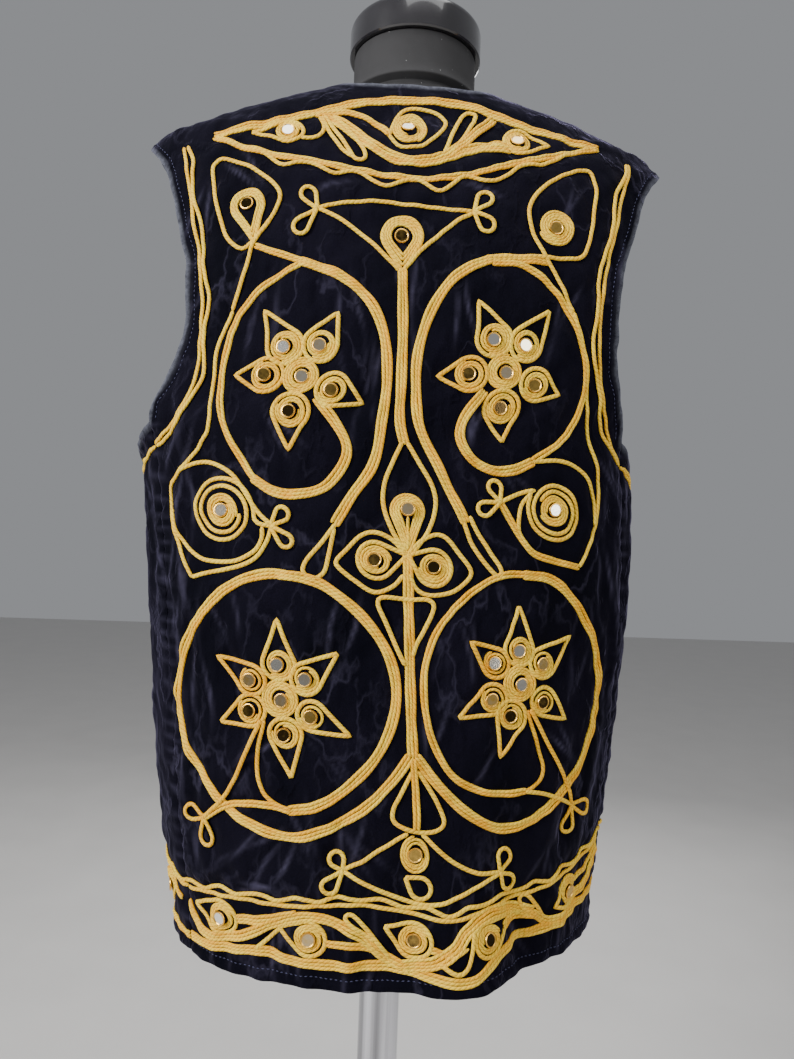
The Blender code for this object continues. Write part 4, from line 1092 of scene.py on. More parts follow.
class Graph:
    """A material's nodes, added and linked by short calls."""

    def __init__(self, name: str) -> None:
        """Makes the material with its Principled shader."""
        self.material = bpy.data.materials.new(name)
        self.material.use_nodes = True
        self.tree = self.material.node_tree
        self.shader = self.tree.nodes["Principled BSDF"]

    def add(self, kind: str, **values: object) -> bpy.types.Node:
        """Adds a node; a keyword sets an input of that name, or else a property."""
        node = self.tree.nodes.new("ShaderNode" + kind)
        for key, value in values.items():
            title = key.replace("_", " ").title()
            if hasattr(node, key):
                setattr(node, key, value)
            else:
                node.inputs[title].default_value = value
        return node

    def link(self, out: Socket, into: Socket) -> None:
        """Links two sockets."""
        self.tree.links.new(out, into)

    def set(self, **values: object) -> None:
        """Sets the shader's own sockets by their names, with _ for a space."""
        for key, value in values.items():
            self.shader.inputs[key.replace("_", " ")].default_value = value

    def noise(self, scale: float, detail: float = 2.0, stretch: Optional[tuple] = None,
              roughness: float = 0.5) -> Socket:
        """A noise on the object's coordinates, stretched along an axis where given."""
        coord = self.add("TexCoord")
        source = coord.outputs["Object"]
        if stretch is not None:
            mapping = self.add("Mapping")
            mapping.inputs["Scale"].default_value = stretch
            self.link(source, mapping.inputs["Vector"])
            source = mapping.outputs["Vector"]
        node = self.add("TexNoise")
        node.inputs["Scale"].default_value = scale
        node.inputs["Detail"].default_value = detail
        node.inputs["Roughness"].default_value = roughness
        self.link(source, node.inputs["Vector"])
        return node.outputs["Fac"]

    def ramp(self, source: Socket, low: float, high: float,
             start: tuple, end: tuple) -> Socket:
        """Colours a value from start at low to end at high."""
        node = self.add("ValToRGB")
        bar = node.color_ramp.elements
        bar[0].position, bar[0].color = low, (*start, 1.0)
        bar[1].position, bar[1].color = high, (*end, 1.0)
        self.link(source, node.inputs["Fac"])
        return node.outputs["Color"]

    def mix(self, share: object, first: Socket, second: Socket, way: str = "MIX") -> Socket:
        """Mixes two colours by a share, in one of the mix node's ways."""
        node = self.add("Mix", data_type="RGBA", blend_type=way)
        self.give(node.inputs[0], share)
        self.link(first, node.inputs[6])
        self.link(second, node.inputs[7])
        return node.outputs[2]

    def colour(self, rgb: tuple) -> Socket:
        """A plain colour."""
        node = self.add("RGB")
        node.outputs[0].default_value = (*rgb, 1.0)
        return node.outputs[0]

    def attribute(self, name: str) -> Socket:
        """A piece's own attribute."""
        return self.add("Attribute", attribute_name=name).outputs["Fac"]

    def uv(self, name: str) -> tuple[Socket, Socket]:
        """The two measures of a UV map."""
        split = self.add("SeparateXYZ")
        self.link(self.add("UVMap", uv_map=name).outputs[0], split.inputs[0])
        return split.outputs[0], split.outputs[1]

    def shade(self, name: str, source: Socket) -> None:
        """Links a socket into one of the shader's own."""
        self.link(source, self.shader.inputs[name])

    def give(self, into: Socket, value: object) -> None:
        """Sets a socket to a number, or links another one into it."""
        if isinstance(value, (int, float)):
            into.default_value = value
        else:
            self.link(value, into)

    def math(self, way: str, first: object, second: object = 0.0) -> Socket:
        """One step of arithmetic on sockets or numbers."""
        node = self.add("Math", operation=way)
        self.give(node.inputs[0], first)
        self.give(node.inputs[1], second)
        return node.outputs[0]

    def bump(self, height: Socket, strength: float, distance: float,
             after: Optional[Socket] = None) -> Socket:
        """A bump on top of an earlier one."""
        node = self.add("Bump")
        node.inputs["Strength"].default_value = strength
        node.inputs["Distance"].default_value = distance
        self.link(height, node.inputs["Height"])
        if after is not None:
            self.link(after, node.inputs["Normal"])
        return node.outputs["Normal"]


@dataclass(frozen=True)
class VelvetFinish:
    """Dark navy pile with a bluish bloom and painted sheen in pale lines along its ridges and
    wrinkles, rubbed grey along the edges.
    """

    deep: tuple = (0.0014, 0.0014, 0.0042)
    lit: tuple = (0.0046, 0.0038, 0.0092)
    rubbed: tuple = (0.110, 0.115, 0.140)
    # colour of the painted sheen on the ridges and wrinkles
    painted_sheen_colour: tuple = (0.042, 0.038, 0.066)

    def make(self) -> Material:
        """Builds the material."""
        g = Graph("velvet")
        cloud = g.noise(14.0, 4.0, (1.0, 1.0, 0.55))
        nap = g.ramp(cloud, 0.34, 0.68, self.deep, self.lit)
        pile = g.noise(950.0, 2.0)
        fleck = g.ramp(pile, 0.30, 0.78, (0.55, 0.55, 0.58), (1.25, 1.25, 1.30))
        dotted = g.mix(0.8, nap, fleck, "MULTIPLY")
        # painted sheen: the ridge mask, and fine wrinkle lines where a slow noise lets them show,
        # mix the pile towards the sheen colour
        painted_sheen_mask = g.math("MULTIPLY", g.attribute("painted_sheen"),
                       g.math("MULTIPLY", g.noise(75.0, 3.0), 1.5))
        # fine wrinkle lines, used as painted sheen here and as a bump below
        off_line = g.math("ABSOLUTE", g.math("SUBTRACT", g.noise(24.0, 4.0, (1.0, 1.0, 0.6)), 0.5))
        vein = g.ramp(off_line, 0.0, 0.028, WHITE, BLACK)
        veiled = g.ramp(g.noise(8.0, 1.0), 0.42, 0.64, BLACK, (0.42, 0.42, 0.42))
        painted_sheen_mask = g.math("MAXIMUM", painted_sheen_mask, g.math("MULTIPLY", vein, veiled))
        with_painted_sheen = g.mix(painted_sheen_mask, dotted, g.colour(self.painted_sheen_colour))
        patch = g.math("MULTIPLY", g.attribute("wear"),
                       g.math("MULTIPLY", g.noise(260.0, 3.0), 1.9))
        g.shade("Base Color", g.mix(patch, with_painted_sheen, g.colour(self.rubbed)))
        g.set(Roughness=0.92, Specular_IOR_Level=0.06, Sheen_Weight=0.30, Sheen_Roughness=0.28,
              Sheen_Tint=(0.42, 0.38, 0.64, 1.0))
        pucker = g.bump(g.noise(42.0, 2.0, (1.0, 1.0, 0.45)), 0.75, 0.0075)
        pinched = g.bump(vein, 0.45, 0.0016, pucker)
        soft = g.bump(g.noise(120.0, 3.0), 0.40, 0.0020, pinched)
        g.shade("Normal", g.bump(pile, 0.30, 0.0004, soft))
        return g.material


@dataclass(frozen=True)
class ReverseFinish:
    """The plain woven inner side of the velvet."""

    colour: tuple = (0.010, 0.011, 0.024)

    def make(self) -> Material:
        """Builds the material."""
        g = Graph("velvet_reverse")
        across, along = g.uv("cut")
        warp = g.math("SINE", g.math("MULTIPLY", across, 6283.0))
        weft = g.math("SINE", g.math("MULTIPLY", along, 6283.0))
        weave = g.math("MULTIPLY", warp, weft)
        tone = g.ramp(g.math("MULTIPLY_ADD", weave, 0.5), 0.0, 1.0,
                      tuple(0.7 * c for c in self.colour), tuple(1.3 * c for c in self.colour))
        g.shade("Base Color", tone)
        g.set(Roughness=0.95, Specular_IOR_Level=0.2)
        g.shade("Normal", g.bump(weave, 0.25, 0.0003))
        return g.material


@dataclass(frozen=True)
class CordFinish:
    """Golden-yellow twisted cotton cord; its UV map runs in twists along and turns round. Painted
    shade darkens the grooves between its plies.
    """

    # colour of the painted shade in the grooves between the plies
    shade: tuple = (0.260, 0.090, 0.002)
    body: tuple = (0.920, 0.440, 0.008)
    light: tuple = (1.000, 0.700, 0.055)

    def make(self) -> Material:
        """Builds the material."""
        g = Graph("gold_cord")
        along, about = g.uv("lay")
        twist = g.math("ADD", along, g.math("MULTIPLY", about, 2.0))
        ply = g.math("ABSOLUTE", g.math("SINE", g.math("MULTIPLY", twist, math.pi)))
        fibre = g.noise(1400.0, 3.0)
        uneven = g.math("ADD", g.math("MULTIPLY", g.noise(90.0, 3.0), 0.75),
                        g.math("MULTIPLY", g.attribute("tone"), 0.28))
        tone = g.ramp(uneven, 0.30, 0.74, self.body, self.light)
        # painted shade: the grooves between the plies are mixed towards the shade colour
        groove = g.ramp(ply, 0.04, 0.42, BLACK, WHITE)
        laid = g.mix(g.math("ADD", g.math("MULTIPLY", groove, 0.62), 0.38),
                     g.colour(self.shade), tone)
        speck = g.ramp(fibre, 0.32, 0.70, (0.72, 0.70, 0.66), (1.12, 1.12, 1.12))
        g.shade("Base Color", g.mix(0.85, laid, speck, "MULTIPLY"))
        g.set(Roughness=0.62, Specular_IOR_Level=0.22, Sheen_Weight=0.08, Sheen_Roughness=0.5,
              Sheen_Tint=(1.0, 0.80, 0.40, 1.0))
        plied = g.bump(ply, 0.55, 0.0006)
        g.shade("Normal", g.bump(fibre, 0.35, 0.0003, plied))
        return g.material


@dataclass(frozen=True)
class PlainFinish:
    """A finish with a mottled colour, a mottled gloss and a fine bump.

    Attributes:
        name: the material's name.
        colour: its main colour.
        vary: how much lighter its lightest patches are.
        roughness: its roughness.
        metallic: 1 for a metal.
        grain: how fine the mottling is.
        bump: the bump's distance in metres.
        stretch: the mottling's scale along each axis.
        specks: whether it carries a few pale specks of lint.
        coat: the weight of a clear coat.
    """

    name: str
    colour: tuple
    vary: float = 1.3
    roughness: float = 0.5
    metallic: float = 0.0
    grain: float = 60.0
    bump: float = 0.0001
    stretch: tuple = (1.0, 1.0, 1.0)
    specks: bool = False
    coat: float = 0.0

    def make(self) -> Material:
        """Builds the material."""
        g = Graph(self.name)
        cloud = g.noise(self.grain, 4.0, self.stretch)
        tone = g.ramp(cloud, 0.30, 0.72, self.colour,
                      tuple(min(1.0, c * self.vary) for c in self.colour))
        if self.specks:
            lint = g.ramp(g.noise(420.0, 1.0), 0.785, 0.80, BLACK, WHITE)
            tone = g.mix(lint, tone, g.colour((0.42, 0.42, 0.42)))
        g.shade("Base Color", tone)
        gloss = g.math("ADD", g.math("MULTIPLY", cloud, 0.16), self.roughness - 0.08)
        g.shade("Roughness", gloss)
        g.set(Metallic=self.metallic, Coat_Weight=self.coat)
        rough = g.noise(self.grain * 9.0, 3.0, self.stretch)
        g.shade("Normal", g.bump(rough, 0.3, self.bump))
        return g.material


@dataclass(frozen=True)
class MirrorFinish:
    """Mirror glass with painted reflections: each mirror's tone attribute paints it dark, gold or
    pale.
    """

    dark: tuple = (0.075, 0.048, 0.018)
    gold: tuple = (0.820, 0.520, 0.120)
    pale: tuple = (0.900, 0.860, 0.760)

    def make(self) -> Material:
        """Builds the material."""
        g = Graph("mirror_glass")
        # painted reflection: the mirror's tone, with a little noise, picks a dark, gold or pale
        # colour
        painted_reflection = g.math("ADD", g.math("MULTIPLY", g.attribute("tone"), 0.8),
                         g.math("MULTIPLY", g.noise(300.0, 2.0), 0.3))
        node = g.add("ValToRGB")
        bar = node.color_ramp.elements
        bar[0].position, bar[0].color = 0.20, (*self.dark, 1.0)
        bar[1].position, bar[1].color = 0.92, (*self.pale, 1.0)
        middle = bar.new(0.48)
        middle.color = (*self.gold, 1.0)
        g.link(painted_reflection, node.inputs["Fac"])
        g.shade("Base Color", node.outputs["Color"])
        g.set(Metallic=1.0, Roughness=0.13)
        g.shade("Normal", g.bump(g.noise(700.0, 2.0), 0.20, 0.0002))
        return g.material


@dataclass
class Finishes:
    """All the finishes, made once."""

    velvet: Material = field(default_factory=VelvetFinish().make)
    reverse: Material = field(default_factory=ReverseFinish().make)
    cord: Material = field(default_factory=CordFinish().make)
    thread: Material = field(default_factory=PlainFinish(
        "navy_thread", (0.030, 0.032, 0.075), 1.6, 0.7, grain=900.0).make)
    mirror: Material = field(default_factory=MirrorFinish().make)
    rim: Material = field(default_factory=PlainFinish(
        "gold_rim", (0.80, 0.48, 0.10), 1.2, 0.30, 1.0, grain=1800.0, bump=0.0002).make)
    shell: Material = field(default_factory=PlainFinish(
        "form_shell", (0.016, 0.0155, 0.0165), 1.5, 0.82, grain=90.0, bump=0.0003,
        specks=True).make)
    cap: Material = field(default_factory=PlainFinish(
        "cap_plastic", (0.016, 0.015, 0.017), 1.3, 0.20, grain=40.0, coat=0.7).make)
    # pole_steel: its colour runs in strong dark and bright vertical streaks, painted reflections of
    # the surroundings on the chrome
    steel: Material = field(default_factory=PlainFinish(
        "pole_steel", (0.16, 0.16, 0.17), 5.2, 0.17, 1.0, grain=75.0,
        stretch=(1.0, 1.0, 0.015), bump=0.00003).make)
    enamel: Material = field(default_factory=PlainFinish(
        "base_enamel", (0.018, 0.018, 0.020), 1.3, 0.33, grain=50.0, coat=0.4).make)
    floor: Material = field(default_factory=PlainFinish(
        "floor_paint", (0.60, 0.585, 0.565), 1.05, 0.60, grain=6.0).make)


def clear_selection() -> None:
    """Deselects every object."""
    for item in bpy.context.selected_objects:
        item.select_set(False)


def pick(obj: Object) -> None:
    """Makes an object the only one selected, and active."""
    clear_selection()
    obj.select_set(True)
    bpy.context.view_layer.objects.active = obj


def finish_modifiers(obj: Object) -> None:
    """Applies all of an object's modifiers."""
    pick(obj)
    for modifier in list(obj.modifiers):
        bpy.ops.object.modifier_apply(modifier=modifier.name)


def seat(obj: Object, replaces: Sequence[str] = ()) -> None:
    """Makes a piece ride on the part's body and hides the solids it stands for."""
    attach(obj, "root")
    if replaces:
        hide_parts(*replaces)
    LOG.info("%s: %d faces", obj.name, len(obj.data.polygons))


def write_attribute(mesh: bpy.types.Mesh, name: str, values: Points) -> None:
    """Writes one number on each of a mesh's points."""
    layer = mesh.attributes.new(name, "FLOAT", "POINT")
    layer.data.foreach_set("value", values)


def from_arrays(name: str, verts: Points, quads: Points, material: Material,
                uv: Optional[Points] = None, uv_name: str = "lay",
                ends: Sequence[Sequence[int]] = ()) -> Object:
    """A smooth-shaded object from arrays of vertices, quads and end faces.

    Args:
        name: the object's name.
        verts: vertex places, one row each.
        quads: vertex numbers of each four-sided face.
        material: its finish.
        uv: one UV row for each corner of the quads, in order.
        uv_name: the UV map's name.
        ends: faces of any other number of sides.

    Returns:
        The object, linked to the scene.
    """
    mesh = bpy.data.meshes.new(name)
    mesh.from_pydata(verts.tolist(), [], quads.tolist() + [list(face) for face in ends])
    if uv is not None:
        layer = mesh.uv_layers.new(name=uv_name)
        rows = np.zeros((len(mesh.loops), 2))
        rows[:len(uv)] = uv
        layer.data.foreach_set("uv", rows.ravel())
    mesh.materials.append(material)
    mesh.shade_smooth()
    mesh.update()
    obj = bpy.data.objects.new(name, mesh)
    bpy.context.scene.collection.objects.link(obj)
    return obj


@dataclass
class Panel:
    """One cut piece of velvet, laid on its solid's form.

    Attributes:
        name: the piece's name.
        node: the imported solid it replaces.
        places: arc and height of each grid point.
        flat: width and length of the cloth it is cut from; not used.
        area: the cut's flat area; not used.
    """

    name: str
    node: str
    places: tuple[Points, Points]
    flat: Place
    area: float

    def build(self, cloth: Cloth, finishes: Finishes) -> Object:
        """Lays a grid on the form, gives it a wall and rounds the wall's edges."""
        arcs, heights = self.places
        rows, columns = arcs.shape
        clear_selection()
        bpy.ops.mesh.primitive_grid_add(x_subdivisions=columns - 1, y_subdivisions=rows - 1,
                                        size=2.0, calc_uvs=True)
        obj = bpy.context.object
        obj.name = obj.data.name = self.name
        mesh = obj.data
        flat = np.zeros(len(mesh.vertices) * 3)
        mesh.vertices.foreach_get("co", flat)
        flat = flat.reshape(-1, 3)
        column = np.round((flat[:, 0] + 1) / 2 * (columns - 1)).astype(int)
        row = np.round((flat[:, 1] + 1) / 2 * (rows - 1)).astype(int)
        arc, height = arcs[row, column], heights[row, column]
        points, _ = cloth.place(arc, height)
        mesh.vertices.foreach_set("co", points.ravel())
        if arcs[0, -1] < arcs[0, 0]:
            mesh.flip_normals()
        self.mark(obj, cloth, arc, height)
        mesh.materials.append(finishes.velvet)
        mesh.materials.append(finishes.reverse)
        self.add_wall(obj)
        bpy.ops.object.shade_smooth()
        seat(obj, (self.node,))
        return obj

    @staticmethod
    def mark(obj: Object, cloth: Cloth, arc: Points, height: Points) -> None:
        """Writes the wear, the painted sheen on the ridges, the cut's UV map and the turned edges
        on the grid.
        """
        mesh = obj.data
        wear = np.clip(1 - cloth.near_edge.read(arc, height) / 0.0055, 0, 1)
        write_attribute(mesh, "wear", wear)
        # painted sheen: lighter lines along the crease ridges and on the pucker tops
        write_attribute(mesh, "painted_sheen", cloth.painted_sheen(arc, height))
        uv = mesh.uv_layers[0]
        uv.name = "cut"
        corner = np.zeros(len(mesh.loops), dtype=int)
        mesh.loops.foreach_get("vertex_index", corner)
        uv.data.foreach_set("uv", np.column_stack([arc, height])[corner].ravel())
        turned_edge = obj.vertex_groups.new(name="turned")
        inside = cloth.edge_distance(arc, height) - cloth.turned
        thick = np.clip(1 - (inside + 0.0015) / 0.003, 0, 1)
        for share in (0.0, 0.5, 1.0):
            chosen = np.nonzero(np.abs(thick - share) <= 0.25)[0]
            turned_edge.add(chosen.tolist(), share, "REPLACE")

    @staticmethod
    def add_wall(obj: Object) -> None:
        """Gives the grid its thickness, more in the turned edges, and rounds the rim."""
        wall = obj.modifiers.new("wall", "SOLIDIFY")
        wall.thickness = 0.0028
        wall.offset = -1.0
        wall.vertex_group = "turned"
        wall.thickness_vertex_group = 0.66
        wall.material_offset = 1
        rim = obj.modifiers.new("rim", "BEVEL")
        rim.width = 0.0008
        rim.segments = 2
        rim.limit_method = "ANGLE"
        rim.angle_limit = math.radians(55)
        finish_modifiers(obj)


def shares_up(rows: Sequence[EdgePoint], in_front: bool, beside: int, over: int) -> Points:
    """Shares of the way up from the underarm, closer where the shoulder rounds over."""
    fine = np.linspace(0, 1 - SHOULDER_SHARE, 600)
    heights = UNDERARM + fine * (TIP - UNDERARM)
    arcs = FORM.armhole(rows, heights, in_front)
    low = even_steps(arcs, heights, fine, np.linspace(0, 1, beside + 1))
    high = np.arange(over - 1, -1, -1) / over
    return np.concatenate([low, 1 - SHOULDER_SHARE * high**1.6])


def back_places() -> tuple[Points, Points]:
    """Arc and height of each grid point of the back."""
    u = np.linspace(-1, 1, 151)
    beside = np.clip(np.abs(u) / NECK_SHARE, 0, 1)
    along = np.clip((np.abs(u) - NECK_SHARE) / (1 - NECK_SHARE), 0, 1)
    neck_arc, neck_height = back_neckline(beside)
    top = neck_height + (TIP - NECK_POINT) * along
    on_seam = FORM.shoulder(top) - SEAM_GAP / 2
    top_arc = np.sign(u) * np.where(beside < 1, np.minimum(neck_arc, on_seam), on_seam)
    arcs, heights = [], []
    for height in np.linspace(HEM, UNDERARM, 149)[:-1]:
        heights.append(np.full_like(u, height))
        arcs.append(u * (side_seam(height) - SEAM_GAP / 2))
    at_tip = FORM.shoulder(TIP) - SEAM_GAP / 2
    for q in shares_up(BACK_ARMHOLE, False, 76, 22):
        edge = FORM.armhole(BACK_ARMHOLE, UNDERARM + q * (TIP - UNDERARM), False)
        edge = edge - SEAM_GAP / 2
        heights.append(UNDERARM + q * (top - UNDERARM))
        arcs.append(u * edge + (top_arc - u * at_tip) * q**3)
    return np.array(arcs), np.array(heights)


def front_places(side: Side) -> tuple[Points, Points]:
    """Arc and height of each grid point of a front."""
    u = np.linspace(0, 1, 79)
    top = TIP + (NECK_POINT - TIP) * u
    top_arc = FORM.shoulder(top) + SEAM_GAP / 2
    arcs, heights = [], []
    for height in np.linspace(HEM, UNDERARM, 118)[:-1]:
        start = side_seam(height) + SEAM_GAP / 2
        heights.append(np.full_like(u, height))
        arcs.append(start + u * (FORM.front_edge(height) - start))
    for q in shares_up(FRONT_ARMHOLE, True, 84, 20):
        left = FORM.armhole(FRONT_ARMHOLE, UNDERARM + q * (TIP - UNDERARM), True) + SEAM_GAP / 2
        right = FORM.front_edge(UNDERARM + q * (NECK_POINT - UNDERARM))
        straight = left + u * (right - left)
        ends = top_arc[0] + u * (top_arc[-1] - top_arc[0])
        heights.append(UNDERARM + q * (top - UNDERARM))
        arcs.append(straight + (top_arc - ends) * q**3)
    arcs, heights = np.array(arcs), np.array(heights)
    return side.value * arcs, heights - sag(arcs, heights)


def flat_area(places: tuple[Points, Points]) -> float:
    """Area of the form's outer side under a panel."""
    points = FORM.side(*places)
    across = np.cross(points[1:, 1:] - points[:-1, :-1], points[1:, :-1] - points[:-1, 1:])
    return float(np.linalg.norm(across, axis=-1).sum() / 2)


@dataclass
class Vest:
    """The three velvet panels and their topstitching."""

    cloth: Cloth
    stitch: float = 0.0026
    stitch_gap: float = 0.0014

    def build(self, finishes: Finishes) -> None:
        """Builds the panels, then the stitches along their turned edges."""
        back = back_places()
        Panel("vest_back_velvet", "back_panel", back, (0.54, 0.80), flat_area(back)).build(
            self.cloth, finishes)
        for side in Side:
            places = front_places(side)
            Panel(f"vest_front_{side.word}_velvet", f"front_{side.word}", places, (0.36, 0.80),
                  flat_area(places)).build(self.cloth, finishes)
        self.build_topstitch(finishes)

    def stitch_lines(self) -> list[Points]:
        """(arc, height) lines just inside the turned edges."""
        inside = self.cloth.turned
        lines = []
        end = float(FORM.front_edge(np.array(HEM + inside))) - inside
        arcs = np.linspace(-end, end, 400)
        lines.append(np.column_stack([arcs, np.full_like(arcs, HEM + inside)]))
        for side in Side:
            tall = np.linspace(HEM + inside, NECK_POINT - 0.012, 300)
            arcs = side.value * (FORM.front_edge(tall) - inside)
            lines.append(np.column_stack([arcs, tall]))
            for rows, in_front, sign in ((BACK_ARMHOLE, False, -1), (FRONT_ARMHOLE, True, 1)):
                heights = np.linspace(UNDERARM + 0.002, TIP - 0.002, 500)
                arcs = FORM.armhole(rows, heights, in_front)
                ahead = unit(np.column_stack([np.gradient(arcs), np.gradient(heights)]))
                move = np.column_stack([sign * ahead[:, 1], -sign * ahead[:, 0]]) * inside
                path = np.column_stack([arcs, heights - in_front * sag(arcs, heights)]) + move
                path[:, 0] *= side.value
                lines.append(path)
        return lines

    def build_topstitch(self, finishes: Finishes) -> None:
        """Lays short stitches of navy thread along the turned edges."""
        stitches = []
        for path in self.stitch_lines():
            length = run_along(path)
            for start in np.arange(0.002, length[-1] - self.stitch, self.stitch + self.stitch_gap):
                where = start + np.array([0.0, 0.5, 1.0]) * self.stitch
                spots = np.column_stack([np.interp(where, length, path[:, k]) for k in (0, 1)])
                stitches.append(Cord(spots, half_width=0.00045, half_height=0.00040))
        layer = CordLayer(self.cloth, sides=5)
        obj = layer.build("edge_topstitch", stitches, finishes.thread, bulge=(0.1, 1.0, 0.1))
        seat(obj)


def ring_quads(rings: int, sides: int, closed: bool = False) -> Points:
    """Four-sided faces between rings of points, and from the last to the first if closed."""
    i = np.arange(rings if closed else rings - 1)[:, None]
    j = np.arange(sides)[None, :]
    after, beside = (i + 1) % rings, (j + 1) % sides
    corners = i * sides + j, after * sides + j, after * sides + beside, i * sides + beside
    return np.stack(np.broadcast_arrays(*corners), axis=-1).reshape(-1, 4)


@dataclass
class CordLayer:
    """Turns cords into tubes that lie on the velvet.

    Attributes:
        cloth: what they lie on.
        sides: sides of a tube.
        twist: length of one turn of the twist.
    """

    cloth: Cloth
    sides: int = 8
    twist: float = 0.0042

    def strands(self, cord: Cord, number: int) -> Iterable[tuple[Points, float]]:
        """(path, how far it is to one side) of each strand, with a hand's slight unevenness."""
        path = cord.path
        ahead = ahead_of(path, cord.closed)
        across = unit(np.column_stack([-ahead[:, 1], ahead[:, 0]]))
        run = np.arange(len(path)) / len(path) * 2 * math.pi
        turns = max(1, round(len(path) * CORD_STEP / 0.045))
        for k in range(cord.strands):
            aside = (k - (cord.strands - 1) / 2) * cord.pitch
            sway = 0.00022 * np.sin(run * turns + 1.7 * k + number)
            yield path + across * (aside + sway)[:, None], aside

    def build(self, name: str, cords: Sequence[Cord], material: Material,
              bulge: Optional[tuple[float, ...]] = None) -> Object:
        """Makes one mesh of all the strands of some cords.

        Args:
            name: the piece's name.
            cords: the cords.
            material: their finish.
            bulge: for stitches, the size at each of their points.

        Returns:
            The object.
        """
        verts, quads, uvs, ends, tones, count = [], [], [], [], [], 0
        for number, cord in enumerate(cords):
            for path, aside in self.strands(cord, number):
                points, rings = self.tube(cord, path, bulge)
                verts.append(rings)
                tone = 0.5 + 0.5 * math.sin(12.9 * (number + 1) + 4.1 * aside / 0.0027)
                tones.append(np.full(len(rings), tone))
                quads.append(ring_quads(len(points), self.sides, cord.closed) + count)
                uvs.append(self.lay(points, cord.closed))
                if not cord.closed:
                    last = count + len(rings) - self.sides
                    ends.append(range(count, count + self.sides))
                    ends.append(range(last + self.sides - 1, last - 1, -1))
                count += len(rings)
        obj = from_arrays(name, np.vstack(verts), np.vstack(quads), material, np.vstack(uvs),
                          ends=ends)
        self.turn_outwards(obj)
        write_attribute(obj.data, "tone", np.concatenate(tones))
        return obj

    def tube(self, cord: Cord, path: Points,
             bulge: Optional[tuple[float, ...]]) -> tuple[Points, Points]:
        """A strand's middle line on the velvet, and the rings of points round it."""
        lift = cord.half_height * 0.72 + cord.over
        points, normal = self.cloth.place(path[:, 0], path[:, 1], lift)
        across = unit(np.cross(normal, ahead_of(points, cord.closed)))
        size = np.ones(len(points)) if bulge is None else np.array(bulge)
        if bulge is None and not cord.closed:
            size[0] = size[-1] = 0.55
        turn = np.arange(self.sides) * 2 * math.pi / self.sides
        wide = cord.half_width * size[:, None] * np.cos(turn)
        high = cord.half_height * size[:, None] * np.sin(turn)
        aside = across[:, None] * wide[..., None] + normal[:, None] * high[..., None]
        return points, (points[:, None] + aside).reshape(-1, 3)

    def lay(self, points: Points, closed: bool) -> Points:
        """UV rows of a strand's faces: twists along it, and the share of a turn round it."""
        run = run_along(points) / self.twist
        run = np.append(run, np.ceil(run[-1])) if closed else run
        low, high = run[:-1, None], run[1:, None]
        side = np.arange(self.sides)[None, :]
        u = np.stack([low, high, high, low], axis=-1)
        v = np.stack([side, side, side + 1, side + 1], axis=-1) / self.sides
        return np.stack(np.broadcast_arrays(u, v), axis=-1).reshape(-1, 2)

    @staticmethod
    def turn_outwards(obj: Object) -> None:
        """Makes the faces of every tube point out."""
        bm = bmesh.new()
        bm.from_mesh(obj.data)
        bmesh.ops.recalc_face_normals(bm, faces=bm.faces)
        bm.to_mesh(obj.data)
        bm.free()


